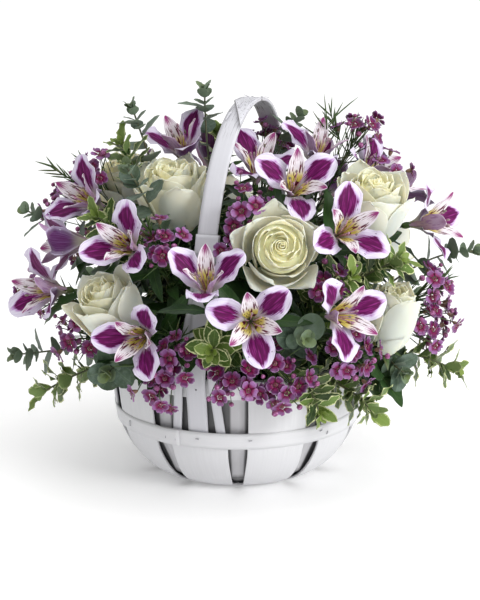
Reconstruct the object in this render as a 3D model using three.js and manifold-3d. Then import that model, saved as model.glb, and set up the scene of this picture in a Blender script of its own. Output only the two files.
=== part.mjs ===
// A round chip-wood basket with a tall handle, filled with an arrangement of white roses, purple and
// white alstroemeria, pink waxflower, eucalyptus and variegated pittosporum, standing in wet foam.
// Millimetres, +Z up. The origin is the middle of the basket's underside, and the front is -Y.
import * as THREE from "three";
import { mergeVertices } from "three/addons/utils/BufferGeometryUtils.js";
import Module from "manifold-3d";

const wasm = await Module();
wasm.setup();

// ---------------------------------------------------------------- driving dimensions
// Basket: the outer radius of the splints at each height, [height, radius].
const WALL_PROFILE = [
  [0, 68],
  [4, 80],
  [14, 94],
  [30, 106],
  [50, 114.5],
  [116, 124],
];
const WALL_THICKNESS = 2.4;
const ROUND_SEGMENTS = 20;
const SPLINT_COUNT = 10;
const SLOT_ANGLE = 9;
const SLOT_INNER_RADIUS = 74;
const BAND = { bottom: 50, top: 66, thickness: 1.8, gap: 0.3 };
const HOOP = { bottom: 97, top: 116, thickness: 2, gap: 1.1 };
const BOARD = { bottom: 2.7, top: 6, radius: 66 };
const LINER = { bottom: 6.3, top: 108, thickness: 1.2, gap: 1.2 };
const FOAM_PROFILE = [
  [0, 8.2],
  [71, 8.2],
  [96, 104],
  [62, 127],
  [0, 134],
];
const FOAM_SEGMENTS = 8;

// Handle: a flat strap in an upright plane turned a little off the front.
const HANDLE_AZIMUTH = -18;
const STRAP = { width: 18.5, thickness: 1.8, inset: 2.3, foot: 50, lap: 1.3, lapFrom: 318 };
const HANDLE_ARCH = [
  [122.4, 116],
  [112, 180],
  [103, 250],
  [80, 305],
  [42, 340],
  [0, 350],
];
const HANDLE_LEAN = 11.4;
const STRAP_HEIGHTS = [50, 90, 116, 170, 222, 248, 275, 300, 320, 334, 345];
const BRACE = { width: 8.5, thickness: 1.5, spread: 22, behind: 2.2, top: 240 };
const COLLAR = { height: 18, middle: 235, wall: 1, gap: 0.4 };

// Flowers: all stems start near this point in the foam, and stay clear of each other by GAP.
const FOCUS = new THREE.Vector3(0, 0, 62);
const STEM_START = 46;
const LOWEST_STEM = 34;
const STEM_CHORDS = 3;
const GAP = 0.35;
const BLADE_THICKNESS = 1.2;
const STEM_RADIUS = { rose: 2.4, alstroemeria: 2, waxflower: 2, eucalyptus: 1.8, pittosporum: 1.8 };

// ---------------------------------------------------------------- colours
const PAINT = { color: 0xe9e7ea, roughness: 0.55 };
const FINISH = {
  paint: PAINT,
  liner: { color: 0xf0eff2, roughness: 0.35 },
  foam: { color: 0x2f5138, roughness: 0.95 },
  rose: { color: 0xf1efd9, roughness: 0.6 },
  alstroemeria: { color: 0xa65aa5, roughness: 0.55 },
  waxflower: { color: 0xc060a4, roughness: 0.55 },
  eucalyptus: { color: 0x6f8f78, roughness: 0.7 },
  pittosporum: { color: 0x7d9a4a, roughness: 0.6 },
};

// ---------------------------------------------------------------- small helpers
const radians = THREE.MathUtils.degToRad;

function vector(x, y, z) {
  return new THREE.Vector3(x, y, z);
}

// The sum of vectors, each times its number: mix(a, 2, b, -1) is 2a - b.
function mix(...terms) {
  const sum = vector(0, 0, 0);
  for (let i = 0; i < terms.length; i += 2) sum.addScaledVector(terms[i], terms[i + 1]);
  return sum;
}

// A unit vector: azimuth 0 is the front (-Y) and turns towards +X, elevation is above the horizon.
function direction(azimuth, elevation) {
  const a = radians(azimuth);
  const e = radians(elevation);
  return vector(Math.sin(a) * Math.cos(e), -Math.cos(a) * Math.cos(e), Math.sin(e));
}

// A value between low and high that looks random and is the same on every run.
function vary(index, low, high) {
  return low + (high - low) * ((index * 0.6180339887) % 1);
}

function between(list, x) {
  const i = Math.max(1, list.findIndex((row) => row[0] >= x));
  const [a, b] = [list[i - 1], list[i]];
  return a[1] + ((b[1] - a[1]) * (x - a[0])) / (b[0] - a[0]);
}

// The face direction, and two directions across it turned by the roll.
function faceFrame(face, roll) {
  const axis = direction(face[0], face[1]);
  const level = vector(0, 0, 1).cross(axis).normalize();
  const rise = axis.clone().cross(level);
  const r = radians(roll);
  return {
    axis,
    right: mix(level, Math.cos(r), rise, Math.sin(r)),
    up: mix(level, -Math.sin(r), rise, Math.cos(r)),
  };
}

// ---------------------------------------------------------------- solids
function solid(geometry) {
  const bare = geometry.clone();
  bare.deleteAttribute("normal");
  bare.deleteAttribute("uv");
  const merged = mergeVertices(bare, 1e-4);
  const triVerts = Uint32Array.from(merged.index.array);
  const vertProperties = merged.attributes.position.array;
  const made = new wasm.Manifold(new wasm.Mesh({ numProp: 3, vertProperties, triVerts }));
  if (made.volume() > 0) return made;
  for (let i = 0; i < triVerts.length; i += 3) {
    [triVerts[i], triVerts[i + 1]] = [triVerts[i + 1], triVerts[i]];
  }
  return new wasm.Manifold(new wasm.Mesh({ numProp: 3, vertProperties, triVerts }));
}

function geometryOf(body) {
  const mesh = body.getMesh();
  const geometry = new THREE.BufferGeometry();
  geometry.setAttribute("position", new THREE.BufferAttribute(mesh.vertProperties, 3));
  geometry.setIndex(new THREE.BufferAttribute(mesh.triVerts, 1));
  geometry.computeVertexNormals();
  return geometry;
}

// The largest closed body of a join: a hollow that the join sealed is filled, and loose scrap dropped.
function mainBody(body) {
  return body.decompose().reduce((a, b) => (a.volume() > b.volume() ? a : b));
}

// Joins solids into one body, and smooths slivers away until the body survives being stored.
function fuse(solids) {
  const joined = mainBody(wasm.Manifold.union(solids));
  for (const tolerance of [0.01, 0.02, 0.04, 0.08, 0.12]) {
    const slim = joined.simplify(tolerance);
    const coarse = mergeVertices(geometryOf(slim).deleteAttribute("normal"), 2e-3);
    try {
      const back = solid(coarse);
      if (back.decompose().length === 1) return back;
    } catch (error) {
      continue;
    }
  }
  throw new Error("a join kept slivers");
}

// Rings of the same number of points, skinned one to the next and capped flat at both ends.
function indexed(points, faces) {
  const geometry = new THREE.BufferGeometry().setFromPoints(points);
  geometry.setIndex(faces);
  return geometry;
}

function loft(rings) {
  const points = rings.flat();
  const count = rings[0].length;
  const faces = [];
  for (let r = 0; r + 1 < rings.length; r++) {
    for (let i = 0; i < count; i++) {
      const a = r * count + i;
      const b = r * count + ((i + 1) % count);
      faces.push(a, b, a + count, b, b + count, a + count);
    }
  }
  const last = (rings.length - 1) * count;
  for (let i = 1; i + 1 < count; i++) {
    faces.push(0, i + 1, i, last, last + i, last + i + 1);
  }
  return solid(indexed(points, faces));
}

function lathe(profile, segments) {
  const points = profile.map(([radius, height]) => new THREE.Vector2(radius, height));
  return solid(new THREE.LatheGeometry(points, segments).rotateX(Math.PI / 2));
}

function box(width, depth, height) {
  return new THREE.BoxGeometry(width, depth, height);
}

// Three-sided rings along a line of points, each ring square to the line and carried on from the last.
function rodRings(points, radius) {
  const last = points.length - 1;
  let side = null;
  return points.map((at, i) => {
    const along = mix(points[Math.min(i + 1, last)], 1, points[Math.max(i - 1, 0)], -1).normalize();
    side = side || vector(0.31, 0.27, 0.91).cross(along);
    side = mix(side, 1, along, -side.dot(along)).normalize();
    const third = (k) => side.clone().applyAxisAngle(along, (2 * Math.PI * k) / 3);
    return [0, 1, 2].map((k) => mix(at, 1, third(k), radius));
  });
}

function rod(points, radius) {
  return loft(rodRings(points, radius));
}

// The upward direction of surface(t, v), where t runs from a blade's root (0) to its tip (1) and v from
// edge to edge (-1 to 1).
function liftOf(surface, t, v) {
  const s = THREE.MathUtils.clamp(t, 0.03, 0.97);
  const c = v * 0.9;
  const along = surface(s + 0.01, c).sub(surface(s - 0.01, c));
  const across = surface(s, c + 0.01).sub(surface(s, c - 0.01));
  return along.cross(across).normalize();
}

// A blade with the same triangles on both faces. Its root, tip and side points lie on its edge, and its
// inner points are on a spine of one point a row, or on a single hub. Half the thickness is `core` inside
// and `rim` at the edge.
function blade(surface, { rows, hub }, core, rim) {
  const points = [];
  const faces = [];
  const pair = (t, v, half) => {
    const at = surface(t, v);
    if (half === 0) return [points.push(at) - 1, points.length - 1];
    const up = liftOf(surface, t, v).multiplyScalar(half);
    points.push(at.clone().add(up), at.clone().sub(up));
    return [points.length - 2, points.length - 1];
  };
  const skin = (a, b, c) => faces.push(a[0], b[0], c[0], c[1], b[1], a[1]);
  const root = pair(0, 0, rim);
  const left = rows.map((t) => pair(t, -1, rim));
  const right = rows.map((t) => pair(t, 1, rim));
  const tip = pair(1, 0, rim);
  const edge = [root, ...right, tip, ...left.slice().reverse(), root];
  if (hub) {
    const middle = pair(hub, 0, core);
    for (let i = 0; i + 1 < edge.length; i++) skin(middle, edge[i], edge[i + 1]);
  } else {
    const spine = rows.map((t) => pair(t, 0, core));
    const last = rows.length - 1;
    skin(root, right[0], spine[0]);
    skin(root, spine[0], left[0]);
    skin(spine[last], right[last], tip);
    skin(left[last], spine[last], tip);
    for (let i = 0; i < last; i++) {
      skin(spine[i], right[i], right[i + 1]);
      skin(spine[i], right[i + 1], spine[i + 1]);
      skin(left[i], spine[i], spine[i + 1]);
      skin(left[i], spine[i + 1], left[i + 1]);
    }
  }
  for (let i = 0; rim > 0 && i + 1 < edge.length; i++) {
    const [a, b] = [edge[i], edge[i + 1]];
    faces.push(a[0], a[1], b[0], b[0], a[1], b[1]);
  }
  return solid(indexed(points, faces));
}

// The sign of the turn that a loop of points makes round an axis.
function windingOf(points, centre, axis) {
  const [a, b] = [mix(points[0], 1, centre, -1), mix(points[1], 1, centre, -1)];
  return Math.sign(a.cross(b).dot(axis));
}

// A flower and its stem as one closed skin. Each ring of petals is a sheet with an upper and a lower face:
// the lowest sheet's lower face closes on the stem, each upper face closes on a neck that the next sheet
// stands on, and the last one closes on a point. In a ring, each petal's v = 1 edge faces the next petal's
// v = -1 edge.
function bloomOnStem(rings, stemPoints, stemRadius, centre, axis) {
  const points = [];
  const faces = [];
  const add = (at) => points.push(at) - 1;
  const half = BLADE_THICKNESS / 2;

  // Fills between a loop of points and a neck, which is one point or three turned the same way.
  function closeOn(loop, neck, over) {
    const pick = (i, shift) => neck[(Math.floor((i * neck.length) / loop.length) + shift) % neck.length];
    const stray = (here, there) => points[here].distanceTo(points[there]);
    const shifts = neck.map((_, shift) =>
      loop.reduce((sum, here, i) => sum + stray(here, pick(i, shift)), 0));
    const shift = shifts.indexOf(Math.min(...shifts));
    const skin = (a, b, c) => faces.push(...(over ? [a, b, c] : [c, b, a]));
    loop.forEach((here, i) => {
      const j = (i + 1) % loop.length;
      const [k, m] = [pick(i, shift), pick(j, shift)];
      skin(k, here, loop[j]);
      if (k !== m) skin(k, loop[j], m);
    });
  }

  let neck = rodRings(stemPoints, stemRadius).map((ring) => ring.map(add));
  const firstTwo = [0, 1].map((i) => rings[0].petals[i].surface(0.3, 0));
  const winding = windingOf(firstTwo, centre, axis);
  const stemEnd = neck[neck.length - 1].map((k) => points[k]);
  const along = mix(stemPoints[stemPoints.length - 1], 1, stemPoints[stemPoints.length - 2], -1);
  if (windingOf(stemEnd, stemPoints[stemPoints.length - 1], along) !== winding) {
    neck = neck.map((ring) => ring.slice().reverse());
  }
  faces.push(neck[0][2], neck[0][1], neck[0][0]);
  for (let r = 0; r + 1 < neck.length; r++) {
    for (let k = 0; k < 3; k++) {
      const m = (k + 1) % 3;
      faces.push(neck[r + 1][m], neck[r + 1][k], neck[r][k], neck[r + 1][m], neck[r][k], neck[r][m]);
    }
  }
  neck = neck[neck.length - 1];

  for (const { petals, top } of rings) {
    const spines = (surface, t, side) =>
      add(mix(surface(t, 0), 1, liftOf(surface, t, 0), side * winding * half));
    const lobes = petals.map(({ surface, rows }) => ({
      left: rows.map((t) => add(surface(t, -1))),
      right: rows.map((t) => add(surface(t, 1))),
      upper: rows.map((t) => spines(surface, t, 1)),
      lower: rows.map((t) => spines(surface, t, -1)),
      tip: add(surface(1, 0)),
    }));
    for (const over of [false, true]) {
      const skin = (a, b, c) => faces.push(...(over ? [a, b, c] : [c, b, a]));
      for (const { left, right, upper, lower, tip } of lobes) {
        const spine = over ? upper : lower;
        const last = spine.length - 1;
        skin(left[last], tip, spine[last]);
        skin(spine[last], tip, right[last]);
        for (let i = 0; i < last; i++) {
          skin(left[i], left[i + 1], spine[i + 1]);
          skin(left[i], spine[i + 1], spine[i]);
          skin(spine[i], spine[i + 1], right[i + 1]);
          skin(spine[i], right[i + 1], right[i]);
        }
      }
      const loop = lobes.flatMap((lobe) => [lobe.left[0], lobe[over ? "upper" : "lower"][0], lobe.right[0]]);
      if (over) neck = closingNeck(top, lobes);
      closeOn(loop, neck, over);
    }
  }
  return solid(indexed(points, faces));

  // One point on the axis, or a ring of three points turned the same way as the petals.
  function closingNeck({ height, radius }, lobes) {
    const middle = mix(centre, 1, axis, height);
    if (!radius) return [add(middle)];
    const start = mix(points[lobes[0].upper[0]], 1, middle, -1);
    const out = mix(start, 1, axis, -start.dot(axis)).normalize();
    return [0, 1, 2].map((k) => {
      const turned = out.clone().applyAxisAngle(axis, (winding * 2 * Math.PI * k) / 3);
      return add(mix(middle, 1, turned, radius));
    });
  }
}

// ---------------------------------------------------------------- space already taken
const taken = [];

function record(owner, body) {
  taken.push({ owner, body, box: body.boundingBox() });
}

function recorded(owner, body) {
  record(owner, body);
  return [body];
}

function boxesMeet(a, b) {
  return [0, 1, 2].every((k) => a.min[k] < b.max[k] && b.min[k] < a.max[k]);
}

// True where a body meets nothing that belongs to another piece. Stems may pass the foam.
function isClear(owner, body, skipFoam = false) {
  const own = body.boundingBox();
  return taken.every((other) => {
    if (other.owner === owner || (skipFoam && other.owner === "foam")) return true;
    if (!boxesMeet(own, other.box)) return true;
    return body.intersect(other.body).isEmpty();
  });
}

// ---------------------------------------------------------------- the basket
function wallRadius(height) {
  return between(WALL_PROFILE, height);
}

// The wall between two heights as a closed lathe profile, with both faces drawn in from the outer radius.
function wallStrip(bottom, top, outer, inner) {
  const inside = WALL_PROFILE.map((row) => row[0]).filter((z) => z > bottom && z < top);
  const heights = [bottom, ...inside, top];
  const up = heights.map((z) => [wallRadius(z) - outer, z]);
  const down = heights.map((z) => [wallRadius(z) - inner, z]).reverse();
  return [...up, ...down, up[0]];
}

// A wedge with its point on the axis, from the inner radius outwards, standing between two heights.
function wedge(azimuth, halfAngle, innerRadius, bottom, top) {
  const far = 160;
  const shape = new THREE.Shape();
  const reach = (radius, turn) => {
    const d = direction(azimuth + turn, 0);
    return [d.x * radius, d.y * radius];
  };
  shape.moveTo(...reach(innerRadius, -halfAngle));
  shape.lineTo(...reach(innerRadius - 2.5, 0));
  shape.lineTo(...reach(innerRadius, halfAngle));
  shape.lineTo(...reach(far, halfAngle));
  shape.lineTo(...reach(far, -halfAngle));
  const geometry = new THREE.ExtrudeGeometry(shape, { depth: top - bottom, bevelEnabled: false });
  return solid(geometry.translate(0, 0, bottom));
}

function splints() {
  const floor = BOARD.bottom - 0.3;
  const outer = WALL_PROFILE.map(([z, radius]) => [radius, z]);
  const inner = WALL_PROFILE.slice(2).map(([z, radius]) => [radius - WALL_THICKNESS, z]).reverse();
  const profile = [[0, 0], ...outer, ...inner, [BOARD.radius + 6, floor], [0, floor]];
  let body = lathe(profile, ROUND_SEGMENTS);
  for (let i = 0; i < SPLINT_COUNT; i++) {
    const azimuth = (360 / SPLINT_COUNT) * i;
    body = body.subtract(wedge(azimuth, SLOT_ANGLE / 2, SLOT_INNER_RADIUS, -5, 130));
  }
  // Behind the band, the two splints under the handle end where the handle's feet begin.
  for (const azimuth of [HANDLE_AZIMUTH, HANDLE_AZIMUTH + 180]) {
    body = body.subtract(wedge(azimuth, 13.8, SLOT_INNER_RADIUS, STRAP.foot - 2, 130));
  }
  return body;
}

function lining() {
  const heights = [14, 50, LINER.top];
  const wall = WALL_THICKNESS + LINER.gap;
  const hoop = WALL_THICKNESS + HOOP.gap + HOOP.thickness + LINER.gap;
  const inset = (z) => (z > HOOP.bottom - 20 ? hoop : wall);
  const outer = heights.map((z) => [wallRadius(z) - inset(z), z]);
  const inner = outer.map(([radius, z]) => [radius - LINER.thickness, z]).reverse();
  const floor = LINER.bottom + LINER.thickness;
  const foot = wallRadius(LINER.bottom) - wall - 3;
  return lathe([[0, LINER.bottom], [foot, LINER.bottom], ...outer, ...inner, [foot - 1, floor], [0, floor]],
    ROUND_SEGMENTS);
}

// ---------------------------------------------------------------- the handle
const handleOut = direction(HANDLE_AZIMUTH, 0);
const handleAcross = direction(HANDLE_AZIMUTH + 90, 0);

function handleCurve() {
  const foot = [STRAP.foot, 66, 90].map((z) => [wallRadius(z) - STRAP.inset, z]);
  const front = [...foot, ...HANDLE_ARCH];
  const back = front.slice(0, -1).reverse().map(([reach, z]) => [-reach, z]);
  const [, rim] = HANDLE_ARCH[0];
  const [, crown] = HANDLE_ARCH[HANDLE_ARCH.length - 1];
  const points = [...front, ...back].map(([reach, z]) => {
    const lean = (HANDLE_LEAN * Math.max(0, z - rim)) / (crown - rim);
    return mix(handleOut, reach, vector(1, 0, 0), lean, vector(0, 0, 1), z);
  });
  return new THREE.CatmullRomCurve3(points, false, "centripetal");
}
const strapCurve = handleCurve();

// The share of the handle's length at which it reaches a height, on the front or the back leg.
function shareAtHeight(height, back) {
  let [low, high] = back ? [1, 0.5] : [0, 0.5];
  for (let i = 0; i < 30; i++) {
    const middle = (low + high) / 2;
    if (strapCurve.getPointAt(middle).z < height) low = middle;
    else high = middle;
  }
  return low;
}

// A place on the handle: its middle, its outward face and the direction across it.
function handleStation(share) {
  const at = strapCurve.getPointAt(share);
  const out = strapCurve.getTangentAt(share).cross(handleAcross).normalize();
  if (out.dot(mix(at, 1, vector(0, 0, 1), -180)) < 0) out.negate();
  return { at, out, across: handleAcross };
}

const legStations = [false, true].map((back) =>
  STRAP_HEIGHTS.map((z) => handleStation(shareAtHeight(z, back))));

// The strap is straight between its stations, and so is what lies against it.
function stationAtHeight(height, back) {
  const leg = legStations[back ? 1 : 0];
  const next = Math.max(1, STRAP_HEIGHTS.findIndex((z) => z >= height));
  const [below, above] = [leg[next - 1], leg[next]];
  const share = (height - below.at.z) / (above.at.z - below.at.z);
  return {
    at: mix(below.at, 1 - share, above.at, share),
    out: mix(below.out, 1 - share, above.out, share).normalize(),
    tangent: mix(above.at, 1, below.at, -1).normalize(),
    across: handleAcross,
  };
}

// A flat strip: at each station its middle, its outward face and the offsets of both faces.
function strip(stations, width) {
  const rings = stations.map(({ at, out, across, outer, inner }) => [
    mix(at, 1, across, -width / 2, out, inner),
    mix(at, 1, across, width / 2, out, inner),
    mix(at, 1, across, width / 2, out, outer),
    mix(at, 1, across, -width / 2, out, outer),
  ]);
  return loft(rings);
}

function handle() {
  const half = STRAP.thickness / 2;
  const [front, back] = legStations;
  const stations = [...front, handleStation(0.5), ...back.slice().reverse()];
  return strip(stations.map((station) => {
    const lapped = station.at.z > STRAP.lapFrom;
    return { ...station, inner: -half, outer: half + (lapped ? STRAP.lap : 0) };
  }), STRAP.width);
}

function smoothStep(low, high, x) {
  return THREE.MathUtils.smoothstep(x, low, high);
}

// One thin strip that leans from the band beside the handle to the collar behind it.
function brace(side, back) {
  const heights = [STRAP.foot, 90, 116, 138, 170, 222, BRACE.top];
  const offsetAt = [
    [STRAP.foot, BRACE.spread],
    [116, 15.8],
    [138, 13.9],
    [BRACE.top, 4.6],
  ];
  const stations = heights.map((z) => {
    const station = stationAtHeight(z, back);
    const offset = side * between(offsetAt, z);
    const hidden = smoothStep(116, 138, z);
    const round = (offset * offset * (1 - hidden)) / (2 * wallRadius(Math.min(z, 116)));
    const turn = ((1 - hidden) * offset) / wallRadius(Math.min(z, 116));
    const up = vector(0, 0, 1);
    const spin = back ? -turn : turn;
    const out = station.out.clone().applyAxisAngle(up, spin);
    const across = station.across.clone().applyAxisAngle(up, spin);
    const at = mix(station.at, 1, station.across, offset, station.out, -round - hidden * BRACE.behind);
    return { at, out, across, inner: -BRACE.thickness / 2, outer: BRACE.thickness / 2 };
  });
  return strip(stations, BRACE.width);
}

function braces(back) {
  const { at, tangent, across } = stationAtHeight(COLLAR.middle, back);
  const out = tangent.clone().cross(across).multiplyScalar(back ? -1 : 1);
  const turned = new THREE.Matrix4().makeBasis(across, out, across.clone().cross(out));
  const clear = STRAP.thickness / 2 + COLLAR.gap;
  const front = clear + COLLAR.wall;
  const rear = BRACE.behind + BRACE.thickness / 2 + COLLAR.wall;
  const place = (geometry, shift) => solid(geometry.translate(0, shift, 0).applyMatrix4(turned)
    .translate(at.x, at.y, at.z));
  const width = STRAP.width + 2 * (COLLAR.gap + COLLAR.wall);
  const shell = place(box(width, front + rear, COLLAR.height), (front - rear) / 2);
  const bore = place(box(STRAP.width + 2 * COLLAR.gap, 2 * clear, COLLAR.height + 4), 0);
  const pieces = [shell, brace(1, back), brace(-1, back)];
  return wasm.Manifold.union(pieces).subtract(bore);
}

// ---------------------------------------------------------------- leaves and petals
// Each kind of blade: its size, where it is widest, how its root and tip narrow, and how far its edges
// rise (cup) or wave. Rows are the crosswise lines of its mesh.
const BLADES = {
  outerTepal: { length: 54, width: 32, widest: 0.64, claw: 0.05, root: 2.2, tip: 0.5, cup: 0.12,
    mesh: { rows: [0.14, 0.5, 0.86] } },
  innerTepal: { length: 50, width: 16, widest: 0.6, claw: 0.1, root: 1.4, tip: 0.7, cup: 0.3,
    mesh: { rows: [0.16, 0.64] } },
  roseLeaf: { length: 50, width: 29, widest: 0.42, claw: 0, root: 0.7, tip: 0.9, cup: 0.16,
    mesh: { rows: [0.25, 0.62] } },
  coinLeaf: { length: 26, width: 24, widest: 0.52, claw: 0, root: 0.6, tip: 0.5, cup: 0.1,
    mesh: { rows: [0.24, 0.76], hub: 0.5 } },
  waveLeaf: { length: 30, width: 15, widest: 0.58, claw: 0, root: 0.9, tip: 0.8, cup: 0.1, wave: 0.16,
    mesh: { rows: [0.3, 0.58, 0.84], hub: 0.5 } },
};

// The share of its full width that a blade has at t.
function outline(t, kind) {
  const rooting = t < kind.widest;
  const q = rooting ? 1 - t / kind.widest : (t - kind.widest) / (1 - kind.widest);
  const full = Math.max(0, 1 - q * q) ** (rooting ? kind.root : kind.tip);
  return rooting ? kind.claw + (1 - kind.claw) * full : full;
}

// A blade that leaves its root along one direction and bends away from its upper face by an arc.
function leafSurface(kind, { root, along, up, bend = 0, size = 1 }) {
  const across = along.clone().cross(up).normalize();
  const arc = Math.abs(bend) < 0.01 ? 0.01 : bend;
  return (t, v, grow = 0) => {
    const length = kind.length * size;
    const turn = arc * t;
    const run = (length * Math.sin(turn)) / arc + grow * (2 * t - 1);
    const drop = (length * (1 - Math.cos(turn))) / arc;
    const half = (kind.width / 2) * size * outline(t, kind);
    const wave = (kind.wave || 0) * Math.sin(4 * Math.PI * t + 1.2) * Math.abs(v);
    const rise = half * (kind.cup * v * v + wave);
    return mix(root, 1, along, run + rise * Math.sin(turn), up, rise * Math.cos(turn) - drop,
      across, (half + grow) * v);
  };
}

// Bends and sizes that are tried in turn until a blade meets nothing: [more bend in degrees, size].
const BLADE_TRIES = [
  [0, 1],
  [-16, 1],
  [16, 1],
  [-32, 0.96],
  [32, 0.96],
  [0, 0.8],
  [-26, 0.8],
  [26, 0.8],
  [-48, 0.85],
  [48, 0.85],
  [-14, 0.62],
  [34, 0.62],
  [-60, 0.62],
  [0, 0.45],
];
const leftOut = [];

// The first of the tried bodies whose fattened guard meets no other piece, or nothing.
function firstClear(owner, label, tries, make) {
  for (const attempt of tries) {
    const { body, guard } = make(attempt);
    if (isClear(owner, guard)) {
      record(owner, body);
      return [body];
    }
  }
  leftOut.push(owner + " " + label);
  return [];
}

function bladeBody(surface, mesh) {
  const half = BLADE_THICKNESS / 2;
  const wide = (t, v) => surface(t, v, GAP + 0.1);
  return { body: blade(surface, mesh, half, 0), guard: blade(wide, mesh, half + GAP, GAP) };
}

function leafTry(kind, place, [more, size]) {
  return leafSurface(kind, { ...place, bend: (place.bend || 0) + radians(more), size: place.size * size });
}

function leaf(owner, label, kind, place) {
  return firstClear(owner, label, BLADE_TRIES, (attempt) =>
    bladeBody(leafTry(kind, place, attempt), kind.mesh));
}

// A petal of a corolla: the surface that meets no other piece, with the rows of its mesh.
function fitPetal(owner, mesh, surfaceFor) {
  let chosen = null;
  const found = firstClear(owner, "petal", BLADE_TRIES, (attempt) => {
    chosen = { surface: surfaceFor(attempt), rows: mesh.rows };
    return bladeBody(chosen.surface, mesh);
  });
  return found.length ? [chosen] : [];
}

// ---------------------------------------------------------------- stems
const STEM_TRIES = [
  [0, 0],
  [0, 8],
  [7, 0],
  [-7, 0],
  [7, 8],
  [-7, 8],
  [0, 16],
  [14, 4],
  [-14, 4],
  [10, 16],
  [-10, 16],
  [20, 10],
  [-20, 10],
  [0, 26],
  [16, 24],
  [-16, 24],
];

// A stem rises from the focus in the foam towards a point, and arrives there along a direction.
function stemCurve(end, arrive, turn, rise) {
  const aim = end.clone().sub(FOCUS);
  const level = Math.hypot(aim.x, aim.y);
  const azimuth = THREE.MathUtils.radToDeg(Math.atan2(aim.x, -aim.y)) + turn;
  const elevation = THREE.MathUtils.radToDeg(Math.atan2(aim.z, level));
  const ray = direction(azimuth, Math.min(88, Math.max(LOWEST_STEM, elevation) + rise));
  const from = mix(FOCUS, 1, ray, STEM_START);
  const reach = from.distanceTo(end);
  const rising = mix(from, 1, ray, 0.4 * reach);
  return new THREE.CubicBezierCurve3(from, rising, mix(end, 1, arrive, -0.3 * reach), end);
}

// The straight pieces that a stem's mesh really has, so that what grows on it is rooted inside it.
function chords(points) {
  const path = new THREE.CurvePath();
  for (let i = 0; i + 1 < points.length; i++) path.add(new THREE.LineCurve3(points[i], points[i + 1]));
  return path;
}

const foamHoles = [];
function stem(owner, radius, end, arrive, steps) {
  for (const [turn, rise] of STEM_TRIES) {
    const points = stemCurve(end, arrive, turn, rise).getSpacedPoints(steps);
    const hole = rod(points, radius + 2 * GAP);
    if (isClear(owner, hole, true)) {
      const body = rod(points, radius);
      foamHoles.push(hole);
      record(owner, body);
      return { curve: chords(points), points, body };
    }
  }
  throw new Error(owner + ": its stem finds no way out");
}

// A branch that leaves a stem partway and runs to its own tip.
function branch(owner, radius, parent, end, arrive, steps) {
  for (const share of [0.34, 0.5, 0.2, 0.66]) {
    const from = parent.getPointAt(share);
    const reach = from.distanceTo(end);
    const leave = parent.getTangentAt(share);
    for (const pull of [0.35, 0.15, 0.55]) {
      const start = mix(from, 1, leave, pull * reach);
      const curve = new THREE.CubicBezierCurve3(from, start, mix(end, 1, arrive, -0.3 * reach), end);
      const points = curve.getSpacedPoints(steps);
      const hole = rod(points, radius + 2 * GAP);
      if (isClear(owner, hole, true)) {
        const body = rod(points, radius);
        foamHoles.push(hole);
        record(owner, body);
        return { curve: chords(points), points, body };
      }
    }
  }
  leftOut.push(owner + " branch");
  return null;
}

// ---------------------------------------------------------------- roses
// Rings of petals from the outside in: the neck or point on which a ring closes, where its petals are
// rooted, how far they go round (half the angle in degrees), and their belly, tip reach and tip height
// from a closed to an open flower. A bud that is open by less than nothing is slimmer and taller.
const ROSE_RINGS = [
  { count: 5, start: 90, top: { height: -33, radius: 3 }, root: [3, -42], round: 35, belly: [25, 29],
    reach: [27, 43], height: [13, -2], mesh: { rows: [0.2, 0.76] } },
  { count: 3, start: 40, top: { height: -23, radius: 3 }, root: [6.4, -31], round: 56, belly: [20, 22],
    reach: [19, 28], height: [15, 10], mesh: { rows: [0.25, 0.82] } },
  { count: 3, start: 100, top: { height: 8 }, root: [7, -18], round: 54, belly: [14, 15],
    reach: [12, 17], height: [16, 13], mesh: { rows: [0.25, 0.82] } },
];
const PINWHEEL = 1.7;
const ROSE_OUTLINE = { widest: 0.66, claw: 0.1, root: 0.8, tip: 0.5 };

// A petal wrapped round the flower's axis: its midline is a curve in reach and height, its width goes round
// the axis, and one edge lies further out than the other, so that neighbours overlap like a pinwheel.
function rosePetal({ at, frame, open, size, ring, turn, more, scale }) {
  const opened = (pair) => (pair[0] + (pair[1] - pair[0]) * open) * size;
  const [rootReach, rootHeight] = ring.root;
  const belly = opened(ring.belly);
  const tip = new THREE.Vector2(opened(ring.reach) + 14 * Math.sin(more), opened(ring.height));
  const midline = new THREE.CubicBezierCurve(
    new THREE.Vector2(rootReach * size, rootHeight * size),
    new THREE.Vector2(belly * 1.2, (rootHeight + 2) * size),
    new THREE.Vector2(belly, tip.y - 22 * size),
    tip,
  );
  return (t, v, grow = 0) => {
    const middle = midline.getPoint(THREE.MathUtils.clamp(t * scale, 0, 1));
    const half = radians(ring.round) * scale * outline(t, ROSE_OUTLINE) + grow / Math.max(middle.x, 6);
    const angle = radians(turn) + v * half;
    const reach = middle.x + PINWHEEL * size * v + grow * 0.7 * (2 * t - 1);
    const height = middle.y + grow * 0.7 * (2 * t - 1);
    return mix(at, 1, frame.right, reach * Math.cos(angle), frame.up, reach * Math.sin(angle),
      frame.axis, height);
  };
}

function roseHead(owner, { at, face, roll = 0, open, size, points }) {
  const frame = faceFrame(face, roll);
  const rings = ROSE_RINGS.map((ring) => {
    const petals = [];
    for (let i = 0; i < ring.count; i++) {
      const turn = ring.start + (360 / ring.count) * i;
      petals.push(...fitPetal(owner, ring.mesh, ([more, scale]) =>
        rosePetal({ at, frame, open, size, ring, turn, more: radians(more), scale })));
    }
    return { petals, top: { height: ring.top.height * size, radius: ring.top.radius } };
  });
  return recorded(owner, bloomOnStem(rings, points, STEM_RADIUS.rose, at, frame.axis));
}

// ---------------------------------------------------------------- alstroemeria
const THROAT = { depth: 18, top: 5, radius: 2.7 };

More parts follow.
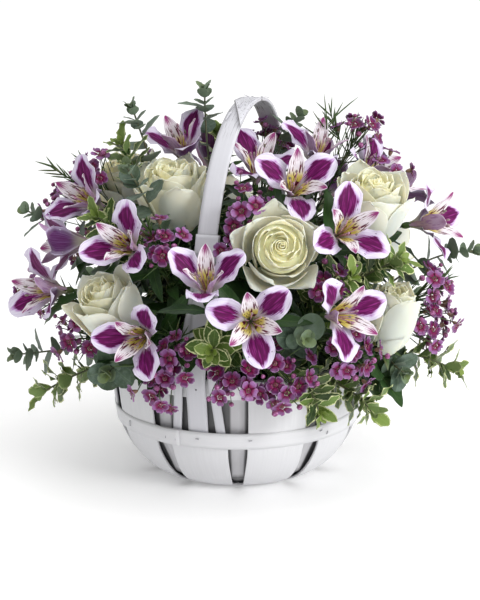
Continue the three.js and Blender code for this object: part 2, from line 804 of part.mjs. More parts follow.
function alstroemeriaHead(owner, { at, face, roll = 0, size, points }) {
  const frame = faceFrame(face, roll);
  const throat = mix(at, 1, frame.axis, -THROAT.depth * size);
  const petals = [];
  for (let i = 0; i < 6; i++) {
    const outer = i % 2 === 0;
    const kind = outer ? BLADES.outerTepal : BLADES.innerTepal;
    const turn = radians(90 - 60 * i);
    const out = mix(frame.right, Math.cos(turn), frame.up, Math.sin(turn));
    const tilt = radians(outer ? 14 : 8);
    const place = {
      root: mix(throat, 1, out, THROAT.radius * size),
      along: mix(frame.axis, Math.cos(tilt), out, Math.sin(tilt)),
      up: mix(frame.axis, Math.sin(tilt), out, -Math.cos(tilt)),
      bend: radians((outer ? 68 : 38) + vary(i * 3 + at.x, -6, 8)),
      size,
    };
    petals.push(...fitPetal(owner, kind.mesh, (attempt) => leafTry(kind, place, attempt)));
  }
  const rings = [{ petals, top: { height: THROAT.top } }];
  return recorded(owner, bloomOnStem(rings, points, STEM_RADIUS.alstroemeria, throat, frame.axis));
}

// ---------------------------------------------------------------- waxflower
const FLORET = { radius: 7.5, notch: 0.62, dish: 1.6, cup: 4.5 };
const GOLDEN_ANGLE = 137.5;
const TWIG_RADIUS = 0.75;

// Five round petals as a lobed dish over a small cup, on a thin stalk from its joint.
function floret(joint, centre, axis, radius, stalk) {
  const frame = { axis, right: vector(0.31, 0.27, 0.91).cross(axis).normalize() };
  frame.up = axis.clone().cross(frame.right);
  const around = (middle, reach, turn) =>
    mix(middle, 1, frame.right, reach * Math.cos(turn), frame.up, reach * Math.sin(turn));
  const neck = mix(centre, 1, axis, -FLORET.cup);
  const points = [mix(centre, 1, axis, 0.5)];
  const lobes = 10;
  for (let i = 0; i < lobes; i++) {
    const middle = mix(centre, 1, axis, i % 2 ? -0.4 : FLORET.dish);
    points.push(around(middle, radius * (i % 2 ? FLORET.notch : 1), (2 * Math.PI * i) / lobes));
  }
  for (const [middle, reach] of [[neck, stalk * 1.4], [joint, stalk]]) {
    for (let k = 0; k < 3; k++) points.push(around(middle, reach, (2 * Math.PI * (k + 0.5)) / 3));
  }
  const faces = [];
  const side = (i) => Math.floor((3 * i) / lobes) % 3;
  for (let i = 0; i < lobes; i++) {
    const [here, next] = [1 + i, 1 + ((i + 1) % lobes)];
    const [a, b] = [side(i), side(i + 1 === lobes ? 0 : i + 1)];
    faces.push(0, here, next, next, here, 1 + lobes + a);
    if (a !== b) faces.push(1 + lobes + a, 1 + lobes + b, next);
  }
  for (let k = 0; k < 3; k++) {
    const [a, b] = [1 + lobes + k, 1 + lobes + ((k + 1) % 3)];
    faces.push(a, a + 3, b, b, a + 3, b + 3);
  }
  faces.push(4 + lobes, 6 + lobes, 5 + lobes);
  return solid(indexed(points, faces));
}

// A round bud on a thin stalk.
function bud(joint, centre, radius, stalk) {
  const along = mix(centre, 1, joint, -1).normalize();
  const right = vector(0.31, 0.27, 0.91).cross(along).normalize();
  const up = along.clone().cross(right);
  const ring = (middle, reach) => [0, 1, 2].map((k) => {
    const turn = (2 * Math.PI * k) / 3;
    return mix(middle, 1, right, reach * Math.cos(turn), up, reach * Math.sin(turn));
  });
  const neck = mix(centre, 1, along, -radius);
  const crown = mix(centre, 1, along, radius);
  return loft([ring(joint, stalk), ring(neck, stalk), ring(centre, radius), ring(crown, 1)]);
}

function spike(root, along, length, radius) {
  const geometry = new THREE.ConeGeometry(radius, length, 3).translate(0, length / 2, 0);
  const turn = new THREE.Quaternion().setFromUnitVectors(vector(0, 1, 0), along);
  return solid(geometry.applyQuaternion(turn).translate(root.x, root.y, root.z));
}

function waxCluster(owner, stalk, { at, face, spread, florets, seed, needles = 1 }) {
  const frame = faceFrame(face, seed * 40);
  const bodies = [];
  const shifts = [0, 6, -6, 12, -12, 18];
  for (let i = 0; i < florets; i++) {
    const ring = spread * Math.sqrt((i + 0.5) / florets);
    const turn = radians(GOLDEN_ANGLE * i);
    const out = mix(frame.right, Math.cos(turn), frame.up, Math.sin(turn));
    const axis = mix(frame.axis, 1, out, (0.8 * ring) / spread).normalize();
    const isBud = i % 5 === 4;
    const radius = FLORET.radius * vary(i + seed, 0.85, 1.1);
    const drop = (0.3 * ring * ring) / spread - vary(i * 2 + seed, -5, 5);
    const joint = stalk.getPointAt(0.995 - (0.2 * i) / florets);
    bodies.push(...firstClear(owner, "floret", shifts, (shift) => {
      const centre = mix(at, 1, out, ring, frame.axis, shift - drop);
      const grown = (wide) => isBud
        ? bud(joint, centre, 3.4 + wide, TWIG_RADIUS + wide)
        : floret(joint, centre, axis, radius + wide, TWIG_RADIUS + wide);
      return { body: grown(0), guard: grown(2 * GAP) };
    }));
  }
  for (let i = 0; i < needles; i++) {
    const turn = radians((360 / needles) * i + 20 * seed);
    const out = mix(frame.right, Math.cos(turn), frame.up, Math.sin(turn));
    const along = mix(frame.axis, vary(i + seed, 0.3, 1.4), out, 1).normalize();
    const root = stalk.getPointAt(0.96 - 0.05 * i);
    bodies.push(...firstClear(owner, "needle", [1, 0.7], (size) => ({
      body: spike(root, along, 30 * size, 1.1),
      guard: spike(root, along, 31 * size, 1.1 + 2 * GAP),
    })));
  }
  return bodies;
}

// ---------------------------------------------------------------- leafy sprays
// Pairs of leaves from the tip down, larger and further apart as they go, each pair turned from the last.
const LEAFING = {
  eucalyptus: { kind: BLADES.coinLeaf, each: 2, turn: 90, angle: 62, first: 0.36, grows: 0.0075,
    step: 0.62, bend: 12 },
  pittosporum: { kind: BLADES.waveLeaf, each: 1, turn: 137.5, angle: 48, first: 0.62, grows: 0.006,
    step: 0.24, bend: 25 },
};

function leafyTwig(owner, species, { curve, nodes, seed }, largest = 1.15) {
  const habit = LEAFING[species];
  const length = curve.getLength();
  const bodies = [];
  let down = 1;
  for (let n = 0; n < nodes && down < length * 0.8; n++) {
    const share = 1 - down / length;
    const root = curve.getPointAt(share);
    const tangent = curve.getTangentAt(share);
    const side = mix(root, 1, FOCUS, -1).cross(tangent).normalize();
    const rise = tangent.clone().cross(side);
    const size = Math.min(largest, habit.first + habit.grows * down) * vary(n + seed, 0.92, 1.1);
    for (let k = 0; k < habit.each; k++) {
      const turn = radians(habit.turn * n + (360 / habit.each) * k + 35 * seed);
      const out = mix(side, Math.cos(turn), rise, Math.sin(turn));
      const angle = radians(habit.angle * Math.min(1, 0.45 + down / 40) + vary(n * 2 + k + seed, -8, 8));
      bodies.push(...leaf(owner, "leaf", habit.kind, {
        root,
        along: mix(tangent, Math.cos(angle), out, Math.sin(angle)),
        up: mix(tangent, Math.sin(angle), out, -Math.cos(angle)),
        bend: radians(habit.bend),
        size,
      }));
    }
    down += habit.kind.length * size * habit.step;
  }
  return bodies;
}

// ---------------------------------------------------------------- where everything stands
// `at` is the middle of a bloom or cluster, or the tip of a twig; `face` and `aim` are [azimuth, elevation].
const ROSES = {
  rose_front: { at: [36, -140, 240], face: [8, 24], open: 1, size: 1, leaves: 2 },
  rose_upper_left: { at: [-60, -46, 281], face: [-25, 74], open: 0.4, size: 1.14, leaves: 1 },
  rose_right: { at: [122, -66, 274], face: [24, 66], open: 0.35, size: 1.1, leaves: 2 },
  rose_left: { at: [-118, -118, 190], face: [-50, 56], open: 0.35, size: 1, leaves: 2 },
  rose_low_right: { at: [138, -100, 176], face: [42, 70], open: -0.6, size: 1.04, leaves: 1 },
  rose_back_left: { at: [-108, 12, 280], face: [-62, 62], open: 0.7, size: 0.95, leaves: 1 },
  rose_rear_middle: { at: [-16, 140, 228], face: [-172, 32], open: 0.9, size: 1, leaves: 1 },
  rose_rear_left: { at: [-112, 120, 196], face: [-140, 26], open: 0.6, size: 1, leaves: 1 },
  rose_rear_right: { at: [146, 92, 205], face: [126, 30], open: 0.5, size: 1, leaves: 1 },
};

const ALSTROEMERIAS = {
  alstroemeria_far_left: [
    { at: [-136, -34, 262], face: [-48, 30], roll: 20 },
    { at: [-152, -50, 226], face: [-84, -4], roll: 50 },
  ],
  alstroemeria_left: [{ at: [-96, -122, 238], face: [-26, 22], roll: -6 }],
  alstroemeria_side_left: [{ at: [-170, -78, 188], face: [-50, 8], roll: 10 }],
  alstroemeria_low_left: [{ at: [-84, -146, 163], face: [-22, 6], roll: -28 }],
  alstroemeria_middle: [{ at: [-27, -164, 214], face: [-6, 52], roll: 180 }],
  alstroemeria_low_middle: [{ at: [12, -174, 184], face: [4, 12], roll: -48 }],
  alstroemeria_top_front: [{ at: [50, -88, 284], face: [14, 34], roll: 58 }],
  alstroemeria_upper_right: [{ at: [92, -118, 250], face: [20, 24], roll: -8 }],
  alstroemeria_side_right: [{ at: [176, -22, 240], face: [62, 14], roll: 30 }],
  alstroemeria_low_right: [{ at: [88, -150, 184], face: [38, 14], roll: 40 }],
  alstroemeria_top_left: [{ at: [-52, 8, 304], face: [-35, 62], roll: 0 }],
  alstroemeria_top_right: [
    { at: [74, 0, 300], face: [36, 66], roll: 30 },
    { at: [122, 4, 282], face: [64, 50], roll: 70 },
  ],
  alstroemeria_crown: [{ at: [18, -18, 290], face: [10, 62], roll: 20 }],
  alstroemeria_rear_left: [
    { at: [-28, 96, 278], face: [-170, 56], roll: 0 },
    { at: [-100, 92, 252], face: [-135, 38], roll: 40 },
    { at: [-52, 164, 168], face: [-164, 8], roll: 20 },
  ],
  alstroemeria_rear_right: [
    { at: [92, 118, 244], face: [142, 42], roll: 30 },
    { at: [150, 42, 258], face: [104, 40], roll: 10 },
    { at: [96, 160, 164], face: [150, 8], roll: 60 },
  ],
};

const WAXFLOWERS = {
  waxflower_far_left: [
    { at: [-143, -6, 288], face: [-60, 50], spread: 20, florets: 4, needles: 3 },
    { at: [-172, -4, 258], face: [-80, 25], spread: 16, florets: 3, needles: 2 },
  ],
  waxflower_left: [{ at: [-72, -122, 240], face: [-20, 35], spread: 16, florets: 3 }],
  waxflower_middle: [
    { at: [8, -108, 272], face: [4, 45], spread: 26, florets: 4 },
    { at: [-6, -122, 240], face: [-6, 20], spread: 14, florets: 3 },
  ],
  waxflower_top_right: [
    { at: [118, 12, 324], face: [70, 60], spread: 15, florets: 3, needles: 3 },
    { at: [144, -4, 290], face: [70, 45], spread: 14, florets: 3 },
    { at: [86, 8, 350], face: [40, 82], spread: 8, florets: 0, needles: 6 },
  ],
  waxflower_right: [
    { at: [189, -44, 178], face: [70, 18], spread: 26, florets: 4 },
    { at: [180, -60, 146], face: [64, 4], arrive: [70, -14], spread: 20, florets: 3 },
  ],
  waxflower_rim_middle: [
    { at: [-6, -164, 122], face: [-2, 14], arrive: [4, -24], spread: 19, florets: 4 },
    { at: [40, -162, 128], face: [14, 10], arrive: [14, -20], spread: 22, florets: 4 },
  ],
  waxflower_rim_left: [
    { at: [-74, -148, 120], face: [-26, 6], arrive: [10, -26], spread: 14, florets: 3 },
    { at: [-54, -152, 150], face: [-18, 20], arrive: [0, -10], spread: 14, florets: 3 },
  ],
  waxflower_rim_right: [
    { at: [104, -146, 148], face: [36, 10], arrive: [36, -12], spread: 22, florets: 4 },
    { at: [84, -134, 208], face: [30, 30], spread: 15, florets: 3 },
  ],
  waxflower_side_left: [
    { at: [-156, -92, 150], face: [-56, 10], spread: 14, florets: 3 },
    { at: [-194, -42, 180], face: [-78, 12], spread: 14, florets: 3 },
  ],
  waxflower_rear: [
    { at: [8, 174, 150], face: [177, 12], arrive: [177, -12], spread: 22, florets: 4 },
    { at: [-162, 74, 204], face: [-112, 20], spread: 20, florets: 3 },
    { at: [34, 60, 312], face: [160, 65], spread: 18, florets: 3 },
  ],
};

const EUCALYPTUS = {
  eucalyptus_top_left: [{ at: [-31, 20, 357], aim: [0, 86], nodes: 4 }],
  eucalyptus_crest_left: [{ at: [-97, -8, 344], aim: [-80, 72], nodes: 4 }],
  eucalyptus_upper_left: [{ at: [-97, -92, 302], aim: [-70, 58], nodes: 4 }],
  eucalyptus_far_left: [{ at: [-194, -22, 250], aim: [-88, 24], nodes: 4 }],
  eucalyptus_low_left: [
    { at: [-206, -48, 120], aim: [-80, 0], nodes: 4 },
    { at: [-116, -126, 124], aim: [-42, -14], nodes: 3 },
  ],
  eucalyptus_front: [{ at: [58, -164, 166], aim: [18, 6], nodes: 4 }],
  eucalyptus_crown: [{ at: [58, 34, 330], aim: [90, 50], nodes: 4 }],
  eucalyptus_right: [
    { at: [222, -4, 208], aim: [92, -4], nodes: 5 },
    { at: [150, -96, 116], aim: [54, -18], nodes: 3 },
  ],
  eucalyptus_rear: [
    { at: [-150, 150, 150], aim: [-135, 0], nodes: 3 },
    { at: [178, 110, 140], aim: [120, 0], nodes: 3 },
  ],
};

const PITTOSPORUMS = {
  pittosporum_crest_left: [{ at: [-106, -22, 312], aim: [-60, 60], nodes: 6 }],
  pittosporum_upper_left: [{ at: [-124, -84, 256], aim: [-50, 30], nodes: 6 }],
  pittosporum_right: [
    { at: [98, -130, 213], aim: [28, 20], nodes: 5 },
    { at: [142, -100, 220], aim: [56, 20], nodes: 5 },
  ],
  pittosporum_low_middle: [{ at: [-22, -164, 156], aim: [-6, 0], nodes: 6 }],
  pittosporum_rim_right: [
    { at: [70, -156, 100], aim: [24, -50], nodes: 5 },
    { at: [118, -128, 90], aim: [42, -46], nodes: 5 },
  ],
  pittosporum_low_right: [{ at: [198, -72, 112], aim: [70, -24], nodes: 6 }],
  pittosporum_low_left: [{ at: [-176, -98, 98], aim: [-60, -26], nodes: 6 }],
  pittosporum_rear: [
    { at: [-70, 172, 112], aim: [-158, -30], nodes: 4 },
    { at: [110, 158, 106], aim: [146, -30], nodes: 4 },
    { at: [-20, 66, 312], aim: [-170, 60], nodes: 3 },
  ],
};

// ---------------------------------------------------------------- assembly
const group = new THREE.Group();
group.name = "flower_basket";

function addMesh(name, body, finish) {
  const mesh = new THREE.Mesh(geometryOf(body), new THREE.MeshStandardMaterial({ ...finish, metalness: 0 }));
  mesh.name = name;
  group.add(mesh);
}

function addBasketPiece(name, body, finish = FINISH.paint) {
  record(name, body);
  addMesh(name, body, finish);
}

addBasketPiece("basket_splints", splints());
addBasketPiece("basket_board", lathe([
  [0, BOARD.bottom],
  [BOARD.radius, BOARD.bottom],
  [BOARD.radius, BOARD.top],
  [0, BOARD.top],
], FOAM_SEGMENTS));
addBasketPiece("mid_band", lathe(wallStrip(BAND.bottom, BAND.top, -BAND.gap, -BAND.gap - BAND.thickness),
  ROUND_SEGMENTS));
const hoopOuter = WALL_THICKNESS + HOOP.gap;
addBasketPiece("rim_hoop", lathe(wallStrip(HOOP.bottom, HOOP.top, hoopOuter, hoopOuter + HOOP.thickness),
  ROUND_SEGMENTS));
addBasketPiece("liner", lining(), FINISH.liner);
addBasketPiece("handle", handle());
addBasketPiece("front_braces", braces(false));
addBasketPiece("rear_braces", braces(true));
const foamBlock = lathe(FOAM_PROFILE, FOAM_SEGMENTS);
record("foam", foamBlock);

// Every stem first, so that no bloom is laid across another's way. A stem ends this far behind its bloom.
const HEAD_DEPTH = { rose: 46, alstroemeria: 27, waxflower: 24 };
const plants = [];

function addPlant(name, species, places) {
  const radius = STEM_RADIUS[species];
  const place = (spot) => {
    const at = vector(...spot.at);
    const arrive = direction(...(spot.arrive || spot.face || spot.aim));
    const depth = HEAD_DEPTH[species] || 0;
    return { ...spot, at, arrive, end: mix(at, 1, arrive, -depth * (spot.size || 1)) };
  };
  const [first, ...rest] = places.map(place);
  const main = stem(name, radius, first.end, first.arrive, STEM_CHORDS);
  const spots = [{ ...first, ...main }];
  for (const spot of rest) {
    const arm = branch(name, radius, main.curve, spot.end, spot.arrive, STEM_CHORDS);
    if (!arm) continue;
    spots.push({ ...spot, ...arm });
  }
  plants.push({ name, species, bodies: [], spots });
}

for (const [name, rose] of Object.entries(ROSES)) addPlant(name, "rose", [rose]);
for (const [name, blooms] of Object.entries(ALSTROEMERIAS)) addPlant(name, "alstroemeria", blooms);
for (const [name, tips] of Object.entries(EUCALYPTUS)) addPlant(name, "eucalyptus", tips);
for (const [name, clusters] of Object.entries(WAXFLOWERS)) addPlant(name, "waxflower", clusters);
for (const [name, tips] of Object.entries(PITTOSPORUMS)) addPlant(name, "pittosporum", tips);

// Two or three broad leaves on a rose stem, below its bloom.
function roseLeaves(owner, { curve, leaves, seed }) {
  const bodies = [];
  for (let i = 0; i < leaves; i++) {
    const share = 0.9 - 0.13 * i;
    const root = curve.getPointAt(share);
    const tangent = curve.getTangentAt(share);
    const side = mix(root, 1, FOCUS, -1).cross(tangent).normalize();
    const rise = tangent.clone().cross(side);
    const turn = radians(GOLDEN_ANGLE * i + 70 * seed);
    const out = mix(side, Math.cos(turn), rise, Math.sin(turn));
    const angle = radians(50);
    bodies.push(...leaf(owner, "broad leaf", BLADES.roseLeaf, {
      root,
      along: mix(tangent, Math.cos(angle), out, Math.sin(angle)),
      up: mix(tangent, Math.sin(angle), out, -Math.cos(angle)),
      bend: radians(20),
      size: 1,
    }));
  }
  return bodies;
}

const GROW = {
  rose: (name, spot) => roseHead(name, spot),
  alstroemeria: (name, spot) => alstroemeriaHead(name, { size: 1, ...spot }),
  waxflower: (name, spot) => [spot.body, ...waxCluster(name, spot.curve, spot)],
  eucalyptus: (name, spot) => [spot.body, ...leafyTwig(name, "eucalyptus", spot)],
  pittosporum: (name, spot) => [spot.body, ...leafyTwig(name, "pittosporum", spot)],
};

plants.forEach((plant, index) => {
  plant.spots.forEach((spot, n) => {
    spot.seed = index + n * 3;
    plant.bodies.push(...GROW[plant.species](plant.name, spot));
  });
});
for (const plant of plants) {
  if (plant.species !== "rose") continue;
  for (const spot of plant.spots) plant.bodies.push(...roseLeaves(plant.name, spot));
}

const foam = foamHoles.reduce((body, hole) => body.subtract(hole), foamBlock);
addMesh("foam", mainBody(foam), FINISH.foam);
for (const { name, species, bodies } of plants) addMesh(name, fuse(bodies), FINISH[species]);

group.userData.leftOut = leftOut;
export default group;
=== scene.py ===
# %% [markdown]
# # A round chip-wood basket of cut flowers
# The real thing is a florist's basket: ten thin wooden splints bent up from a round floor, a band
# round the middle, one tall flat handle, and a block of wet foam that holds every stem.
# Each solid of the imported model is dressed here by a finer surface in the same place. Lengths are
# worked out in millimetres, as a florist would measure, and turned to metres in one place only.

import math

import bpy
import numpy as np
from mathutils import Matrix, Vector
from mathutils.bvhtree import BVHTree
from mathutils.kdtree import KDTree


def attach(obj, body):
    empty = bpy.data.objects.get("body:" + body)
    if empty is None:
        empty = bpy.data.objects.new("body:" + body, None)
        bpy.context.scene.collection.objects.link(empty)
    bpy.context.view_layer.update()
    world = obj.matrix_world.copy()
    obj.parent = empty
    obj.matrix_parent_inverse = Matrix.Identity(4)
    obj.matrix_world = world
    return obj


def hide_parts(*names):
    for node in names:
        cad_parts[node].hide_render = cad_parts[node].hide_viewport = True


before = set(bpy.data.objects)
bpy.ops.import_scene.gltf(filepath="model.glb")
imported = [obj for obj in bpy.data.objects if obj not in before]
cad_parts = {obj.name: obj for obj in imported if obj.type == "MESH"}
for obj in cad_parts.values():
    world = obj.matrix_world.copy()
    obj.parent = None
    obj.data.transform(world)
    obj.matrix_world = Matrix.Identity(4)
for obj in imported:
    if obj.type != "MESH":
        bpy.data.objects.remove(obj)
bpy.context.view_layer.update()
MM = 0.001

# %% [markdown]
# Directions are told as a florist turning the basket would: azimuth 0 is the front, elevation is
# above the table. `vary` gives each petal or leaf its own small difference, the same on every run.

# %% Directions and small differences
GOLDEN_RATIO, GOLDEN_ANGLE = 0.6180339887, 137.5


def direction(azimuth, elevation):
    """Unit vector: (sin a cos e, -cos a cos e, sin e)."""
    a, e = math.radians(azimuth), math.radians(elevation)
    return np.array([math.sin(a) * math.cos(e), -math.cos(a) * math.cos(e), math.sin(e)])


def unit(v):
    """The vector, or each row of an array, divided by its length."""
    return v / np.maximum(np.linalg.norm(v, axis=-1, keepdims=True), 1e-9)


def turned(right, up, turn):
    """The direction at an angle from right towards up: right cos + up sin."""
    return right * math.cos(turn) + up * math.sin(turn)


def leant(axis, out, angle):
    """The axis leant towards out by an angle, and the side of it that faces back to the axis."""
    return turned(axis, out, angle), axis * math.sin(angle) - out * math.cos(angle)


def vary(index, low, high):
    """Low plus the fractional part of index times the golden ratio, times the range."""
    return low + (high - low) * math.fmod(index * GOLDEN_RATIO, 1)


def smooth(low, high, x):
    """An S-shaped step from 0 at low to 1 at high: 3s^2 - 2s^3."""
    s = np.clip((x - low) / (high - low), 0, 1)
    return s * s * (3 - 2 * s)


def face_frame(face, roll):
    """A flower's facing direction, and two directions across it turned by the roll."""
    axis = direction(*face)
    level = unit(np.cross([0, 0, 1], axis))
    rise = np.cross(axis, level)
    r = math.radians(roll)
    return axis, turned(level, rise, r), turned(rise, level, -r)


def bezier(ends, t):
    """A cubic curve through its first and last points, drawn towards the two between."""
    a, b, c, d = (np.asarray(p, float) for p in ends)
    t = np.asarray(t, float)[..., None]
    return a * (1 - t) ** 3 + 3 * b * t * (1 - t) ** 2 + 3 * c * t * t * (1 - t) + d * t**3


def between(x, knots, values):
    """The rows of values, which belong to the knots, joined by straight lines and read at x."""
    return np.stack([np.interp(x, knots, column) for column in values.T], -1)


def run_lengths(points, power=1.0):
    """How far along its line each point is, each step taken to a power."""
    steps = np.linalg.norm(np.diff(points, axis=0), axis=1) ** power
    return np.concatenate([[0], np.cumsum(steps)])


print("front", direction(0, 0), "top", direction(0, 90))

# %% [markdown]
# Every surface is a grid of points with a thickness, or a tube. A `Skin` gathers many of them and
# makes one closed mesh, with a UV map (across, along) and a colour attribute called look: its red
# is the side of a petal, its green a shade of its own, its blue how old or how inner it is.
# Modifiers could thicken the grids, but each petal and leaf would then need an object of its own.

# %% A skin made of many grids and tubes
# No stem runs along this direction, so its cross product with a stem is never nothing.
ASKEW = np.array([0.31, 0.27, 0.91])
TUBE_END = [0.02]


def linked(name, data):
    """A new object that holds the data, linked into the scene."""
    thing = bpy.data.objects.new(name, data)
    bpy.context.collection.objects.link(thing)
    return thing


class Skin:
    """Gathers grids and tubes, in millimetres, and makes one mesh object of them."""

    def __init__(self):
        self.points, self.faces, self.uv, self.look, self.finish = [], [], [], [], []
        self.count = 0

    def add(self, points, faces, uv, look, finish):
        """Appends points (n, 3), four-cornered faces (m, 4), UVs (n, 2) and looks (n, 3), all in one
        finish, which is a material."""
        self.points.append(points)
        self.faces.append(faces + self.count)
        self.uv.append(uv)
        self.look.append(np.broadcast_to(look, (len(points), 3)))
        self.finish.append((finish, len(faces)))
        self.count += len(points)

    def sheet(self, grid, thickness, finish, shade=0.5, age=0.0, wrap=False, places=None):
        """A leaf, petal or strip: a grid of points with a face on either side and a rim between.
        Its upper side looks along (step across) x (step along). With wrap its last column meets
        its first, as in a ring. Places are t and v of each point, for the UV map."""
        rows, columns = grid.shape[:2]
        along = np.gradient(grid, axis=0)
        if wrap:
            across = np.roll(grid, -1, 1) - np.roll(grid, 1, 1)
        else:
            across = np.gradient(grid, axis=1)
        normal = unit(np.cross(across, along))
        half = np.broadcast_to(np.asarray(thickness, float), (rows, columns))[..., None] / 2
        points = np.concatenate([grid + normal * half, grid - normal * half]).reshape(-1, 3)
        number = np.arange(rows * columns).reshape(rows, columns)
        nxt = np.roll(number, -1, 1) if wrap else number[:, 1:]
        cur = number if wrap else number[:, :-1]
        top = np.stack([cur[:-1], nxt[:-1], nxt[1:], cur[1:]], -1).reshape(-1, 4)
        under = top[:, ::-1] + rows * columns
        rims = [np.stack([nxt[0], cur[0]], -1), np.stack([cur[-1], nxt[-1]], -1)]
        if not wrap:
            rims.append(np.stack([number[:-1, 0], number[1:, 0]], -1))
            rims.append(np.stack([number[1:, -1], number[:-1, -1]], -1))
        edge = np.concatenate(rims)
        rim = np.concatenate([edge, edge[:, ::-1] + rows * columns], -1)
        across, along = np.meshgrid(np.linspace(0, 1, columns), np.linspace(0, 1, rows))
        if places is not None:
            along, across = places[0], (places[1] + 1) / 2
        uv = np.tile(np.stack([across, along], -1).reshape(-1, 2), (2, 1))
        look = np.zeros((len(points), 3))
        look[rows * columns :, 0] = 1
        look[:, 1], look[:, 2] = shade, age
        self.add(points, np.concatenate([top, under, rim]), uv, look, finish)

    def tube(self, middle, radius, finish, sides=6, shade=0.5, age=0.0):
        """A stem: rings of points round a line, square to it, closed by a small ring at each end."""
        middle = np.asarray(middle, float)
        radius = np.broadcast_to(np.asarray(radius, float), len(middle))
        tangent = unit(np.gradient(middle, axis=0))
        side = unit(np.cross(ASKEW, tangent))
        other = np.cross(tangent, side)
        middle = np.concatenate([middle[:1], middle, middle[-1:]])
        radius = np.concatenate([TUBE_END, radius, TUBE_END])
        side, other = (np.concatenate([d[:1], d, d[-1:]]) for d in (side, other))
        turn = np.linspace(0, 2 * math.pi, sides, endpoint=False)
        rings = middle[:, None] + radius[:, None, None] * (
            np.cos(turn)[None, :, None] * side[:, None] + np.sin(turn)[None, :, None] * other[:, None]
        )
        rows = len(rings)
        number = np.arange(rows * sides).reshape(rows, sides)
        nxt = np.roll(number, -1, 1)
        body = np.stack([number[:-1], nxt[:-1], nxt[1:], number[1:]], -1).reshape(-1, 4)
        ends = [self.cap(number[0][::-1]), self.cap(number[-1])]
        u, v = np.meshgrid(np.linspace(0, 1, sides), np.linspace(0, 1, rows))
        uv = np.stack([u, v], -1).reshape(-1, 2)
        self.add(rings.reshape(-1, 3), np.concatenate([body, *ends]), uv, [0, shade, age], finish)

    def cap(self, ring):
        """Four-cornered faces that close a ring with an even number of points."""
        n = len(ring)
        pairs = range(n // 2 - 1)
        return np.array([[ring[i], ring[i + 1], ring[n - 2 - i], ring[n - 1 - i]] for i in pairs])

    def piece(self, name, replaces, slot, finishes):
        """Makes the mesh object, lets it stand for the solids it dresses, and gives it its finishes."""
        mesh = bpy.data.meshes.new(name)
        points = np.concatenate(self.points) * MM
        faces = np.concatenate(self.faces)
        mesh.vertices.add(len(points))
        mesh.vertices.foreach_set("co", points.ravel())
        mesh.loops.add(faces.size)
        mesh.loops.foreach_set("vertex_index", faces.ravel())
        mesh.polygons.add(len(faces))
        mesh.polygons.foreach_set("loop_start", np.arange(0, faces.size, 4))
        numbers = [np.full(count, finishes.index(finish)) for finish, count in self.finish]
        mesh.polygons.foreach_set("material_index", np.concatenate(numbers))
        mesh.update(calc_edges=True)
        layer = mesh.uv_layers.new(name="surface")
        layer.data.foreach_set("uv", np.concatenate(self.uv)[faces.ravel()].ravel())
        look = mesh.color_attributes.new("look", "FLOAT_COLOR", "POINT")
        values = np.concatenate(self.look)
        look.data.foreach_set("color", np.concatenate([values, np.ones((len(values), 1))], 1).ravel())
        mesh.polygons.foreach_set("use_smooth", np.ones(len(faces), bool))
        for finish in finishes:
            mesh.materials.append(finish)
        mesh.validate()
        thing = linked(name, mesh)
        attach(thing, "root")
        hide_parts(*replaces)
        return thing


# %% [markdown]
# ## Finishes
# A petal isn't one colour. Its pattern follows the petal, so it is painted by the UV map: across
# runs from one edge to the other and along from the claw to the tip. `Paint` is a short way to
# write shader nodes: each call makes a node or a few and returns an output.

